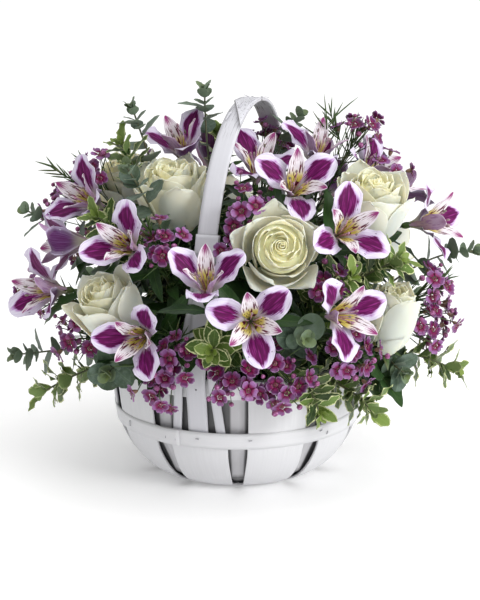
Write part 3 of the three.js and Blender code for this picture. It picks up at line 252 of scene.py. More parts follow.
# %% A short way to write shader nodes
class Paint:
    """A material in the making. Each method adds a node or a few and returns an output."""

    def __init__(self, name, roughness, sheen=0.0, subsurface=0.0, shine=0.5):
        self.material = bpy.data.materials.new(name)
        self.material.use_nodes = True
        self.tree = self.material.node_tree
        self.shader = self.tree.nodes["Principled BSDF"]
        even = {"Roughness": roughness, "Sheen Weight": sheen, "Specular IOR Level": shine}
        even |= {"Subsurface Weight": subsurface, "Subsurface Scale": 1.0}
        even |= {"Subsurface Radius": (0.004, 0.003, 0.002)}
        for socket, value in even.items():
            self.shader.inputs[socket].default_value = value

    def node(self, kind, inputs=(), **settings):
        """One node: settings are its own properties, inputs its sockets by name or number."""
        made = self.tree.nodes.new("ShaderNode" + kind)
        for key, value in settings.items():
            setattr(made, key, value)
        for key, value in dict(inputs).items():
            self.join(made.inputs[key], value)
        return made

    def join(self, socket, value):
        """Links a socket to an output, or gives it a value of its own."""
        if isinstance(value, bpy.types.NodeSocket):
            self.tree.links.new(value, socket)
        elif isinstance(value, (tuple, list)) and len(value) == 3 and socket.type == "RGBA":
            socket.default_value = (*value, 1)
        else:
            socket.default_value = value

    def surface_map(self, axis):
        """The UV map's number across (0) or along (1)."""
        return self.node("SeparateXYZ", {0: self.node("UVMap", uv_map="surface").outputs[0]}).outputs[axis]

    def along(self):
        """From 0 at the root of a petal, leaf or strip to 1 at its tip."""
        return self.surface_map(1)

    def edge(self):
        """From 0 on the midline to 1 at either edge."""
        return self.from_middle(self.surface_map(0))

    def from_middle(self, value):
        """0 where the value is a half, 1 where it is 0 or 1: the size of 2 x value - 1."""
        return self.math("ABSOLUTE", self.minus(self.times(value, 2.0), 1.0))

    def look(self, part):
        """The side, the shade or the age that a petal or leaf was given."""
        colour = self.node("Attribute", attribute_name="look").outputs["Color"]
        return self.node("SeparateColor", {0: colour}).outputs[("side", "shade", "age").index(part)]

    def math(self, operation, a, b=0.0):
        """A calculation with one or two values, each a socket or a number."""
        return self.node("Math", {0: a, 1: b}, operation=operation).outputs[0]

    def times(self, a, b):
        return self.math("MULTIPLY", a, b)

    def plus(self, a, b):
        return self.math("ADD", a, b)

    def minus(self, a, b):
        return self.math("SUBTRACT", a, b)

    def wander(self, noise, amount):
        """A shift to either side: (noise - 1/2) x amount."""
        return self.times(self.minus(noise, 0.5), amount)

    def step(self, value, low, high):
        """0 below low, 1 above high, smooth between; from 1 to 0 where low is above high."""
        inputs = {"Value": value, "From Min": low, "From Max": high}
        return self.node("MapRange", inputs, interpolation_type="SMOOTHSTEP").outputs["Result"]

    def blend(self, share, a, b, most=1.0):
        """Colour a where the share is 0 and, where it is 1, colour b or as much of it as most says."""
        if most != 1.0:
            share = self.times(share, most)
        made = self.node("Mix", data_type="RGBA")
        colours = [s for s in made.inputs if s.type == "RGBA"]
        self.join(made.inputs[0], share)
        self.join(colours[0], a)
        self.join(colours[1], b)
        return [s for s in made.outputs if s.type == "RGBA"][0]

    def place(self, scale=(1, 1, 1), uv=False):
        """Object coordinates, or the UV map's, stretched by a scale."""
        source = self.node("UVMap", uv_map="surface") if uv else self.node("TexCoord")
        where = source.outputs[0 if uv else "Object"]
        return self.node("Mapping", {"Vector": where, "Scale": scale}).outputs[0]

    def noise(self, scale, where, detail=4.0, rough=0.55):
        """Blender's fractal noise, about one half in the middle."""
        inputs = {"Vector": where, "Scale": scale, "Detail": detail, "Roughness": rough}
        return self.node("TexNoise", inputs).outputs[0]

    def streaks(self, across, along, detail, rough=0.55):
        """Noise that follows the piece: so many specks across it and along it."""
        return self.noise(1.0, self.place((across, along, 1), uv=True), detail, rough)

    def finish(self, colour, height=None, strength=0.3, distance=0.0004):
        """Gives the shader its colour and a bump from the height, and returns the material."""
        self.join(self.shader.inputs["Base Color"], colour)
        if height is not None:
            bump = self.node("Bump", {"Strength": strength, "Distance": distance, "Height": height})
            self.join(self.shader.inputs["Normal"], bump.outputs[0])
        return self.material


# %% [markdown]
# The basket's wood is sprayed with thin white paint. Grain stands out as long fine ridges along
# each splint, the paint is a little thinner on them, and dust greys the low places.

# %% Painted wood, film and foam
SPLINTS = 10
SAWN_WOOD, OLD_WOOD = (0.14, 0.13, 0.13), (0.13, 0.12, 0.13)


def painted_wood(name, tone, grain_size, sawn=0.0, cracked=None):
    """White paint: long noise along the strip for grain, broad noise for uneven cover. Sawn is how
    dark the bare wood shows at the two ends. Above the cracked height, where the strip was bent
    most, short dark cracks follow the grain."""
    p = Paint(name, 0.62)
    grain = p.streaks(*grain_size, 5, 0.6)
    cover = p.noise(26, p.place(), 3)
    thin, dusty = ([share * c for c in tone] for share in (0.945, 0.955))
    colour = p.blend(p.step(grain, 0.35, 0.75), thin, tone)
    colour = p.blend(p.step(cover, 0.42, 0.7), colour, dusty)
    worn = p.times(p.step(p.edge(), 0.86, 1.0), p.step(grain, 0.4, 0.65))
    colour = p.blend(worn, colour, (0.56, 0.55, 0.56), 0.4)
    cut = p.step(p.from_middle(p.along()), 0.965, 0.985)
    colour = p.blend(cut, colour, SAWN_WOOD, sawn)
    if cracked:
        height = p.node("SeparateXYZ", {0: p.place()}).outputs[2]
        crack = p.step(p.streaks(17, 34, 4, 0.7), 0.57, 0.61)
        crack = p.times(crack, p.step(height, cracked, cracked + 0.02))
        colour = p.blend(crack, colour, OLD_WOOD, 0.85)
    return p.finish(colour, grain, 0.25, 0.0005)


SPLINT_PAINT = painted_wood("splint_paint", (0.67, 0.67, 0.69), (34, 2.2))
BAND_PAINT = painted_wood("band_paint", (0.69, 0.69, 0.71), (6, 14))
STRAP_PAINT = painted_wood("strap_paint", (0.62, 0.62, 0.66), (9, 3), 0.8, 0.318)


def film():
    """Dull white film, creased a little where it is pushed against the splints. Its grey, darker than the
    splints' paint, is partly painted shade for where it lies deep in the slots. Near-black painted
    shade lies beside each splint, where its share of the turn is furthest from a slot's middle, and
    low down at the slots' feet."""
    p = Paint("liner_film", 0.42)
    crease = p.noise(55, p.place((1, 1, 0.35)), 3)
    # Partly painted shade: the film's grey is kept darker than the splints, for the depth of the slots.
    colour = p.blend(crease, (0.46, 0.455, 0.47), (0.57, 0.565, 0.59))
    x, y, z = p.node("SeparateXYZ", {0: p.place()}).outputs
    turn = p.math("ARCTAN2", x, p.times(y, -1.0))
    share = p.math("FRACT", p.plus(p.times(turn, SPLINTS / (2 * math.pi)), float(SPLINTS)))
    from_splint = p.math("ABSOLUTE", p.minus(share, 0.5))
    # Painted shade: near-black film beside the splints and at the slots' feet, where shadow falls.
    corner = p.math("MAXIMUM", p.step(from_splint, 0.425, 0.39), p.step(z, 0.02, 0.013))
    return p.finish(p.blend(corner, colour, (0.05, 0.05, 0.052), 0.9), crease, 0.5, 0.001)


def wet_foam():
    """Dark green foam: fine open pores and broad darker wet patches."""
    p = Paint("wet_foam", 0.9)
    pores = p.noise(520, p.place(), 2)
    wet = p.noise(35, p.place(), 3)
    return p.finish(p.blend(wet, (0.010, 0.028, 0.012), (0.03, 0.065, 0.03)), pores, 0.8, 0.001)


def wire():
    """Thin galvanised staple wire under the same white paint, worn at the crown."""
    p = Paint("staple_wire", 0.38)
    worn = p.noise(300, p.place(), 2)
    return p.finish(p.blend(p.step(worn, 0.45, 0.6), (0.52, 0.52, 0.55), (0.22, 0.22, 0.24)), worn, 0.2)


STAPLE = wire()
for node_name, finish in (("liner", film()), ("foam", wet_foam()), ("basket_board", SPLINT_PAINT)):
    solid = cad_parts[node_name]
    solid.data.materials.clear()
    solid.data.materials.append(finish)
print("basket finishes", len(bpy.data.materials))

# %% [markdown]
# ## The basket
# The bowl's wall is a profile of height and radius, steep above the handle's foot and rounded in
# towards the floor. Everything that lies on the wall is placed by this profile.

# %% The wall, and a curve through points
HANDLE_AT = -18.0
FOOT_HEIGHT, RIM_HEIGHT, JUST_UNDER_RIM = 50, 116, 115.8
# Height and outer radius.
WALL = np.array([[0, 68], [4, 80], [14, 94], [30, 106], [FOOT_HEIGHT, 114.5], [RIM_HEIGHT, 124]], float)


def wall_radius(height):
    """The outer radius at a height, straight between the rows of the profile."""
    return np.interp(height, WALL[:, 0], WALL[:, 1])


def on_wall(angle, reach, height):
    """Points at an angle from the front, a reach from the axis and a height."""
    return np.stack([np.sin(angle) * reach, -np.cos(angle) * reach, height], -1)


def spline(points, count):
    """A smooth curve through points: a Catmull-Rom curve whose knots are spaced by the root of
    the distance, sampled evenly by length. Each round joins neighbours over a wider span of knots."""
    p = np.asarray(points, float)
    p = np.concatenate([[2 * p[0] - p[1]], p, [2 * p[-1] - p[-2]]])
    knots = run_lengths(p, 0.5)
    t = np.linspace(knots[1], knots[-2], 900)
    i = np.clip(np.searchsorted(knots, t, side="right") - 1, 1, len(p) - 3)
    k = [knots[i + j][:, None] for j in (-1, 0, 1, 2)]
    q = [p[i + j] for j in (-1, 0, 1, 2)]
    t = t[:, None]
    for spans in ([(0, 1), (1, 2), (2, 3)], [(0, 2), (1, 3)], [(1, 2)]):
        q = [
            (q[j] * (k[end] - t) + q[j + 1] * (t - k[start])) / (k[end] - k[start])
            for j, (start, end) in enumerate(spans)
        ]
    length = run_lengths(q[0])
    return between(np.linspace(0, length[-1], count), length, q[0])


print("wall", RIM_HEIGHT, "high and", 2 * wall_radius(RIM_HEIGHT), "across")

# %% [markdown]
# A splint is a strip of that wall: it runs from the floor to the rim, nine degrees short of its
# neighbours, and bows out a little between its edges because the wood was bent wet. A bent plane
# would do for one, but the slots also narrow to nothing at the floor, which a formula does best.

# %% Splints
WOOD, SPLINT_INSET, SLOT = 2.0, 1.1, 9.0
FLOOR_RADIUS, FLOOR_LEVEL, SLOT_START, SLOT_ROUNDED = 60, 1.3, 74, 6


def splint(middle, top):
    """Along the wall's profile and across an angle: radius bows by cos across, the slot narrows
    and rounds off at its foot, and the edges wander by a few tenths."""
    rows = [[r - SPLINT_INSET, max(z, FLOOR_LEVEL)] for z, r in WALL]
    profile = spline([[FLOOR_RADIUS, FLOOR_LEVEL], *rows], 44)
    profile = profile[profile[:, 1] <= top]
    if profile[-1, 1] < top:
        profile = np.concatenate([profile, [[wall_radius(top) - SPLINT_INSET, top]]])
    v = np.sin(np.linspace(-1, 1, 15) * math.pi / 2)
    radius, height = profile[:, :1], profile[:, 1:]
    joined = 1 - np.sqrt(np.clip((radius - SLOT_START) / SLOT_ROUNDED, 0, 1))
    narrowing = 1.1 * smooth(45, 5, height)
    wider = np.maximum((SLOT / 2 - 0.05) * joined, narrowing)
    half = (360 / SPLINTS - SLOT) / 2 + wider + 0.12 * np.sin(height / 13 + middle)
    angle = np.radians(middle + half * v)
    bow = 0.5 * (1 - v * v) * np.sin(np.clip(height / RIM_HEIGHT, 0, 1) * math.pi)
    reach = radius + bow - 0.25
    lift = np.broadcast_to(height, angle.shape) + 0.5 * np.sin(middle) * smooth(100, RIM_HEIGHT, height)
    return on_wall(angle, reach, np.minimum(lift, JUST_UNDER_RIM))


def ring_strip(profile):
    """A grid round the axis: rows follow a profile of radius and height, columns the azimuth."""
    angle = np.radians(np.linspace(0, 360, 120, endpoint=False))
    radius, height = np.hsplit(np.asarray(profile, float), 2)
    return on_wall(angle, radius, height + 0 * angle)


bowl = Skin()
for i in range(SPLINTS):
    middle = 360 / SPLINTS * (i + 0.5)
    # Under the handle's legs a splint stops where the leg's foot begins.
    top = FOOT_HEIGHT + 1.6 if (middle - HANDLE_AT) % 180 < 1 else RIM_HEIGHT
    bowl.sheet(splint(middle, top), WOOD, SPLINT_PAINT, vary(i, 0.2, 0.9))
floor_rows = [[radius, 1.2] for radius in (0.4, 20, 40, FLOOR_RADIUS + 1)]
bowl.sheet(ring_strip(floor_rows), WOOD, SPLINT_PAINT, wrap=True)
bowl.piece("bowl_splints", ["basket_splints"], "painted_wood", [SPLINT_PAINT])
print("splints", SPLINTS)

# %% [markdown]
# The band is one long strip that goes round once and laps over its own end left of the handle,
# where two staples hold it. More staples pin it to the splints. A profile spun round the axis
# would close on itself without a lap, so the band is a strip whose angle runs past a full turn.
# The rim hoop, a strip inside the rim, does close, and is spun.

# %% Band with its lap and staples, and the rim hoop
BAND_LOW, BAND_HIGH, LAP_AT, LAP_ANGLE = 50.4, 65.6, -31.0, 9.0


def band():
    """Azimuth runs past a full turn; the last degrees climb over the first by one thickness."""
    turn = np.linspace(0, 360 + LAP_ANGLE, 200)
    over = 1.5 * smooth(355, 361, turn)
    heights = np.linspace(BAND_LOW, BAND_HIGH, 5)[:, None]
    angle = np.radians(LAP_AT - LAP_ANGLE / 2 + turn)
    edge = 0.3 * np.sin(turn / 9) * np.sin(heights)
    reach = wall_radius(heights) + 0.95 + over
    return on_wall(angle, reach, heights + edge)


def staple(azimuth, height, lean, length):
    """A short wire that comes out of the band, runs level and goes back in."""
    s = np.linspace(-1, 1, 9)
    out = 1.9 + 0.75 * np.sqrt(np.clip(1 - s**4, 0, 1))
    angle = np.radians(azimuth) + s * length * math.cos(lean) / (2 * wall_radius(height))
    return on_wall(angle, wall_radius(height) + out, height + s * length / 2 * math.sin(lean))


# Azimuth, height, lean and length: two at the lap, four small ones in front, seven round the back.
STAPLES = [(-33.5, 58, 1.5, 6), (-28.5, 58, 1.6, 6), (-18, 59, 0, 2.4), (5.5, 59, 0, 2.4)]
STAPLES += [(40, 60, 0.2, 2.6), (44, 56, 1.2, 2.6)]
STAPLES += [(azimuth, 58, 1.57, 5) for azimuth in range(86, 325, 36)]
belt = Skin()
belt.sheet(band(), 1.35, BAND_PAINT)
for place in STAPLES:
    belt.tube(staple(*place), 0.5, STAPLE)
belt.piece("middle_band", ["mid_band"], "painted_wood", [BAND_PAINT, STAPLE])

rim = Skin()
rim_profile = [[wall_radius(z) - 4.5, z] for z in (97.3, 103, 110, JUST_UNDER_RIM)]
rim.sheet(ring_strip(rim_profile), 1.7, BAND_PAINT, wrap=True)
rim.piece("rim_strip", ["rim_hoop"], "painted_wood", [BAND_PAINT])
print("staples", len(STAPLES))

# %% [markdown]
# ## The handle
# One flat strap stands on the front and the back of the wall and arches over the flowers. Its
# two ends lap at the top, where the wood is worn and a few splinters have come up. Two thin strips
# lean in beside each leg and a sleeve ties them to it. A curve object with a flat profile could
# draw the strap, but the lap, the splinters and the nails need to know where its middle is and
# which way it faces at any place, so its line is worked out here.

# %% Strap, with its lap, splinters and nails
STRAP_WIDTH, STRAP_INSET, LEAN = 18.3, 2.3, 11.4
ARCH = [[122.4, RIM_HEIGHT], [112, 180], [103, 250], [80, 305], [42, 340], [0, 350]]
STRAP_RINGS, TOP_RING = 181, 90
OUT, ACROSS = direction(HANDLE_AT, 0), direction(HANDLE_AT + 90, 0)
UP = np.array([0.0, 0.0, 1.0])
UNDER_ARCH = 180 * UP


def strap_line(count):
    """Reach and height of the arch, leant a little to the right as it rises."""
    front = [[wall_radius(z) - STRAP_INSET, z] for z in (FOOT_HEIGHT + 2, 66, 90)] + ARCH
    both = np.array(front + [[-r, z] for r, z in reversed(front[:-1])], float)
    lean = LEAN * np.maximum(0, both[:, 1] - RIM_HEIGHT) / (ARCH[-1][1] - RIM_HEIGHT)
    return spline(both[:, :1] * OUT + lean[:, None] * [1, 0, 0] + both[:, 1:] * UP, count)


STRAP = strap_line(STRAP_RINGS)
STRAP_OUT = unit(np.cross(np.gradient(STRAP, axis=0), ACROSS))
STRAP_OUT *= np.sign(np.sum(STRAP_OUT * (STRAP - UNDER_ARCH), 1))[:, None]


def ribbon(middle, out, across, width, columns=7, crown=0.25):
    """A strip carried along a line: across it is flat, but its middle stands a little proud."""
    v = np.linspace(-1, 1, columns)[None, :, None]
    return middle[:, None] + across[:, None] * v * width / 2 + out[:, None] * crown * (1 - v * v)


def row_of(direction_, count):
    """The same direction for every ring of a strip."""
    return np.broadcast_to(direction_, (count, 3))


def over_strap(ring, aside, lift):
    """Points over the strap, at ring numbers with fractions: its middle, moved aside and lifted."""
    middle, out = (between(ring, np.arange(STRAP_RINGS), values) for values in (STRAP, STRAP_OUT))
    return middle + aside[..., None] * ACROSS + lift[..., None] * out


def lap():
    """The rear end of the strap, laid over the front one: cut slantwise and lifted a little at
    the cut."""
    s, v = np.meshgrid(np.linspace(0, 1, 44), np.linspace(-1, 1, 7), indexing="ij")
    first, last = 80.5 - 5.5 * v, 112
    lift = 1.45 + 0.9 * smooth(0.12, 0.0, s) + 0.25 * (1 - v * v)
    aside = v * (STRAP_WIDTH / 2 + 0.5 * smooth(0.3, 0.0, s))
    return over_strap(first + (last - first) * s, aside, lift)


def splinter(start, rings, aside, width, curl):
    """A sliver split off along the grain: it thins as it runs on, and lifts by curl times s^2."""
    s, v = np.meshgrid(np.linspace(0, 1, 10), np.linspace(-1, 1, 3), indexing="ij")
    return over_strap(start + rings * s, aside + v * width / 2 * (1 - 0.75 * s), 2.6 + curl * s * s)


def nail(skin, ring, height, aside=0.0):
    """A small round head that stands proud of the strap."""
    at = STRAP[ring] + ACROSS * aside
    line = [at + STRAP_OUT[ring] * (height - 0.5), at + STRAP_OUT[ring] * height]
    skin.tube(line, [1.0, 0.8], STAPLE, 8, 0.2)


# Where each splinter starts and how many rings it runs, how far aside, how wide, how far it lifts.
SPLINTERS = [(80, -3.4, -5.6, 3.0, 1.4), (85, -3.6, 0.8, 2.4, 1.2), (90, -5.4, 6.6, 2.2, 1.6)]
SPLINTERS += [(92, 6.0, 8.8, 2.0, 1.3), (99, -6.5, -8.8, 1.9, 1.2), (101, 5.5, -8.6, 1.8, 1.5)]
strap = Skin()
sway = 0.3 * np.sin(np.arange(STRAP_RINGS) / 11.0)[:, None] * ACROSS
across_strap = row_of(ACROSS, STRAP_RINGS)
strap.sheet(ribbon(STRAP + sway, STRAP_OUT, across_strap, STRAP_WIDTH)[:, ::-1], 1.7, STRAP_PAINT, 0.4)
strap.sheet(lap()[:, ::-1], 1.3, STRAP_PAINT, 0.7)
for place in SPLINTERS:
    strap.sheet(splinter(*place), 0.5, STRAP_PAINT, 0.3)
nail(strap, 14, 1.5, 1.0)
nail(strap, 92, 3.0)
nail(strap, 168, 1.5)
strap.piece("handle_strap", ["handle"], "painted_wood", [STRAP_PAINT, STAPLE])
print("strap rings", len(STRAP), "splinters", len(SPLINTERS))

# %% [markdown]
# The thin strips stiffen the legs. Each starts beside its leg, follows the round wall, slips behind
# the leg above the rim and ends in a sleeve, which keeps strips and leg together. The strips are
# carried along the leg's own line, so that they stay with it where it leans.

# %% Strips and sleeves beside the legs
# How far a strip stands aside from its leg's middle, at each of four heights.
STRIP_HEIGHTS, STRIP_ASIDE = [FOOT_HEIGHT, RIM_HEIGHT, 138, 240], [22, 15.8, 13.9, 4.6]
STRIP_WIDTH, BEHIND_STRAP = 8.4, 2.2
SLEEVE_LOW, SLEEVE_HIGH, SLEEVE_HALF, SQUARENESS = 226.4, 243.6, 10.35, 0.22


def leg_at(heights, back):
    """Middle and outward face of one leg at given heights."""
    leg = slice(STRAP_RINGS - 1, TOP_RING, -1) if back else slice(None, TOP_RING)
    line, out = STRAP[leg], STRAP_OUT[leg]
    return between(heights, line[:, 2], line), unit(between(heights, line[:, 2], out))


def brace(side, back):
    """Beside the strap at its foot, round the wall's curve, and behind the strap from the rim up."""
    heights = np.linspace(FOOT_HEIGHT + 0.5, STRIP_HEIGHTS[-1], 40)
    middle, out = leg_at(heights, back)
    offset = side * np.interp(heights, STRIP_HEIGHTS, STRIP_ASIDE)[:, None]
    hidden = smooth(*STRIP_HEIGHTS[1:3], heights)[:, None]
    wall = wall_radius(np.minimum(heights, RIM_HEIGHT))[:, None]
    turn = (1 - hidden) * offset / wall * (-1 if back else 1)
    across = row_of(ACROSS, len(heights))
    out_there, across_there = (d * np.cos(turn) + np.cross(UP, d) * np.sin(turn) for d in (out, across))
    sunk = offset**2 * (1 - hidden) / (2 * wall) + hidden * BEHIND_STRAP
    return ribbon(middle + ACROSS * offset - out * sunk, out_there, across_there, STRIP_WIDTH, 5, 0.1)


def sleeve(back):
    """A rounded rectangle round strap and strips, carried up the leg: cos and sin to a small power."""
    middle, out = leg_at(np.linspace(SLEEVE_LOW, SLEEVE_HIGH, 6), back)
    turn = np.linspace(0, 2 * math.pi, 40, endpoint=False)
    c, s = np.cos(turn), np.sin(turn)
    x = SLEEVE_HALF * np.sign(c) * np.abs(c) ** SQUARENESS
    y = np.where(s > 0, 1.9, 3.6) * np.sign(s) * np.abs(s) ** SQUARENESS
    return middle[:, None] + x[None, :, None] * ACROSS + y[None, :, None] * out[:, None]


for back, name in ((False, "front"), (True, "rear")):
    leg = Skin()
    for side in (1, -1):
        grid = brace(side, back)
        leg.sheet(grid if back else grid[:, ::-1], 1.4, STRAP_PAINT, 0.3 + 0.2 * side)
    ring = sleeve(back)
    leg.sheet(ring[:, ::-1] if back else ring, 0.8, STRAP_PAINT, 0.8, wrap=True)
    leg.piece(name + "_strips_and_sleeve", [name + "_braces"], "painted_wood", [STRAP_PAINT])
print("sleeves from", SLEEVE_LOW, "to", SLEEVE_HIGH)

# %% [markdown]
# ## Where everything stands
# The layout is the florist's plan, the same that the solids were built from. Scattering by chance
# would be shorter, but a bunch is arranged, and the solids stand in set places. Each bloom, head or
# twig tip is a row that starts with its place in millimetres and the way it faces, as azimuth and
# elevation. A plant with more than one row is a stem that branches.

# %% The plan of the arrangement
# After its place and facing: how open a bloom is, its size, and its stem's leaves in the solids.
ROSES = {
    "front": [(36, -140, 240, 8, 24, 1, 1, 2)],
    "upper_left": [(-60, -46, 281, -25, 74, 0.4, 1.14, 1)],
    "right": [(122, -66, 274, 24, 66, 0.35, 1.1, 2)],
    "left": [(-118, -118, 190, -50, 56, 0.35, 1, 2)],
    "low_right": [(138, -100, 176, 42, 70, -0.6, 1.04, 1)],
    "back_left": [(-108, 12, 280, -62, 62, 0.7, 0.95, 1)],
    "rear_middle": [(-16, 140, 228, -172, 32, 0.9, 1, 1)],
    "rear_left": [(-112, 120, 196, -140, 26, 0.6, 1, 1)],
    "rear_right": [(146, 92, 205, 126, 30, 0.5, 1, 1)],
}
# After its place and facing: how far a bloom is rolled about its own axis.
ALSTROEMERIAS = {
    "far_left": [(-136, -34, 262, -48, 30, 20), (-152, -50, 226, -84, -4, 50)],
    "left": [(-96, -122, 238, -26, 22, -6)],
    "side_left": [(-170, -78, 188, -50, 8, 10)],
    "low_left": [(-84, -146, 163, -22, 6, -28)],
    "middle": [(-27, -164, 214, -6, 52, 180)],
    "low_middle": [(12, -174, 184, 4, 12, -48)],
    "top_front": [(50, -88, 284, 14, 34, 58)],
    "upper_right": [(92, -118, 250, 20, 24, -8)],
    "side_right": [(176, -22, 240, 62, 14, 30)],
    "low_right": [(88, -150, 184, 38, 14, 40)],
    "top_left": [(-52, 8, 304, -35, 62, 0)],
    "top_right": [(74, 0, 300, 36, 66, 30), (122, 4, 282, 64, 50, 70)],
    "crown": [(18, -18, 290, 10, 62, 20)],
    "rear_left": [(-28, 96, 278, -170, 56, 0), (-100, 92, 252, -135, 38, 40), (-52, 164, 168, -164, 8, 20)],
    "rear_right": [(92, 118, 244, 142, 42, 30), (150, 42, 258, 104, 40, 10), (96, 160, 164, 150, 8, 60)],
}
# After its place and facing: how many nodes of a twig have leaves.
EUCALYPTUS = {
    "top_left": [(-31, 20, 357, 0, 86, 4)],
    "crest_left": [(-97, -8, 344, -80, 72, 4)],
    "upper_left": [(-97, -92, 302, -70, 58, 4)],
    "far_left": [(-194, -22, 250, -88, 24, 4)],
    "low_left": [(-206, -48, 120, -80, 0, 4), (-116, -126, 124, -42, -14, 3)],
    "front": [(58, -164, 166, 18, 6, 4)],
    "crown": [(58, 34, 330, 90, 50, 4)],
    "right": [(222, -4, 208, 92, -4, 5), (150, -96, 116, 54, -18, 3)],
    "rear": [(-150, 150, 150, -135, 0, 3), (178, 110, 140, 120, 0, 3)],
}
# After its place and facing: the spread of a head, its florets and needles in the solids, and the
# way in which its stalk arrives, where that isn't the way it faces.
WAXFLOWERS = {
    "far_left": [(-143, -6, 288, -60, 50, 20, 4, 3), (-172, -4, 258, -80, 25, 16, 3, 2)],
    "left": [(-72, -122, 240, -20, 35, 16, 3)],
    "middle": [(8, -108, 272, 4, 45, 26, 4), (-6, -122, 240, -6, 20, 14, 3)],
    "top_right": [
        (118, 12, 324, 70, 60, 15, 3, 3), (144, -4, 290, 70, 45, 14, 3), (86, 8, 350, 40, 82, 8, 0, 6),
    ],
    "right": [(189, -44, 178, 70, 18, 26, 4), (180, -60, 146, 64, 4, 20, 3, 1, (70, -14))],
    "rim_middle": [
        (-6, -164, 122, -2, 14, 19, 4, 1, (4, -24)), (40, -162, 128, 14, 10, 22, 4, 1, (14, -20)),
    ],
    "rim_left": [
        (-74, -148, 120, -26, 6, 14, 3, 1, (10, -26)), (-54, -152, 150, -18, 20, 14, 3, 1, (0, -10)),
    ],
    "rim_right": [(104, -146, 148, 36, 10, 22, 4, 1, (36, -12)), (84, -134, 208, 30, 30, 15, 3)],
    "side_left": [(-156, -92, 150, -56, 10, 14, 3), (-194, -42, 180, -78, 12, 14, 3)],
    "rear": [
        (8, 174, 150, 177, 12, 22, 4, 1, (177, -12)), (-162, 74, 204, -112, 20, 20, 3),
        (34, 60, 312, 160, 65, 18, 3),
    ],
}
# After its place and facing: how many nodes of a twig have leaves.
PITTOSPORUMS = {
    "crest_left": [(-106, -22, 312, -60, 60, 6)],
    "upper_left": [(-124, -84, 256, -50, 30, 6)],
    "right": [(98, -130, 213, 28, 20, 5), (142, -100, 220, 56, 20, 5)],
    "low_middle": [(-22, -164, 156, -6, 0, 6)],
    "rim_right": [(70, -156, 100, 24, -50, 5), (118, -128, 90, 42, -46, 5)],
    "low_right": [(198, -72, 112, 70, -24, 6)],
    "low_left": [(-176, -98, 98, -60, -26, 6)],
    "rear": [(-70, 172, 112, -158, -30, 4), (110, 158, 106, 146, -30, 4), (-20, 66, 312, -170, 60, 3)],
}
COLUMNS = {
    "rose": (ROSES, ("open", "size", "leaves")),
    "alstroemeria": (ALSTROEMERIAS, ("roll",)),
    "eucalyptus": (EUCALYPTUS, ("nodes",)),
    "waxflower": (WAXFLOWERS, ("spread", "florets", "needles", "arrive")),
    "pittosporum": (PITTOSPORUMS, ("nodes",)),
}


def spot_of(row, columns):
    """A row's numbers by their names. Where a row has no more numbers, the usual ones hold."""
    usual = {"size": 1, "needles": 1, "arrive": row[3:5]}
    return {**usual, "at": np.array(row[:3], float), "face": row[3:5], **dict(zip(columns, row[5:]))}


PLAN = [
    (f"{kind}_{place}", kind, [spot_of(row, columns) for row in rows])
    for kind, (table, columns) in COLUMNS.items()
    for place, rows in table.items()
]
print("plants", len(PLAN))

# %% [markdown]
# In the solids, each stem and each leaf took the first of a few bends and sizes in which it met
# nothing else. Which one it took isn't written anywhere, but it can be seen: its tip is a corner
# of the solid. So each candidate's tip is held against the solid's corners, and the nearest wins.

# %% Reading a solid back
class Solid:
    """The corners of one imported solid, in millimetres, in a search tree."""

    def __init__(self, name):
        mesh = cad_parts[name].data
        flat = np.empty(len(mesh.vertices) * 3)
        mesh.vertices.foreach_get("co", flat)
        points = flat.reshape(-1, 3) / MM
        self.tree = KDTree(len(points))
        for i, point in enumerate(points):
            self.tree.insert(point, i)
        self.tree.balance()

    def gap(self, point):
        """Distance from a point to the nearest corner of the solid."""
        return self.tree.find(Vector(point))[2]

    def nearest(self, tips, limit=1.5):
        """The number of the tip that lies on a corner, or None if none does."""
        gaps = [self.gap(tip) for tip in tips]
        best = int(np.argmin(gaps))
        return best if gaps[best] < limit else None


def others_tree():
    """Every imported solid's faces in one search tree, with the name of the owner of each face."""
    corners, faces, owners = [], [], []
    for name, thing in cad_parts.items():
        mesh, start = thing.data, len(corners)
        corners += [tuple(v.co / MM) for v in mesh.vertices]
        faces += [[start + i for i in polygon.vertices] for polygon in mesh.polygons]
        owners += [name] * len(mesh.polygons)
    return BVHTree.FromPolygons(corners, faces), owners


NEIGHBOURS, OWNERS = others_tree()


def has_room(points, owner, room):
    """True if none of the points is nearer than room to a face of another piece."""
    return all(
        OWNERS[hit[2]] == owner
        for point in points
        for hit in NEIGHBOURS.find_nearest_range(Vector(point), room)
    )


print("packed faces", len(OWNERS))

# %% [markdown]
# ## Stems
# A stem starts in the foam near one common point, as in a hand-tied bunch, rises and arrives at its
# bloom along the bloom's own direction: a cubic curve. The solids hold it as a few straight pieces.
# A curve object would look the same. Worked out here, it also tells each leaf where it sits.

# %% Stems and branches
FOCUS = np.array([0.0, 0.0, 62.0])
STEM_START, LOWEST_STEM, STEM_PARTS, CURVE_PARTS = 46, 34, 3, 40
STEM_RADIUS = {"rose": 2.4, "alstroemeria": 2, "waxflower": 2, "eucalyptus": 1.8, "pittosporum": 1.8}
STEM_TRIES = [(0, 0), (0, 8), (7, 0), (-7, 0), (7, 8), (-7, 8), (0, 16), (14, 4), (-14, 4)]
STEM_TRIES += [(10, 16), (-10, 16), (20, 10), (-20, 10), (0, 26), (16, 24), (-16, 24)]
HEAD_DEPTH = {"rose": 46, "alstroemeria": 27, "waxflower": 24}


def even_points(ends, parts):
    """Points on a cubic curve, evenly spaced by its length."""
    t = np.linspace(0, 1, 201)
    length = run_lengths(bezier(ends, t))
    return bezier(ends, np.interp(np.linspace(0, length[-1], parts + 1), length, t))


def taper(root, tip):
    """A radius for every point of a round stem."""
    return np.linspace(root, tip, CURVE_PARTS + 1)


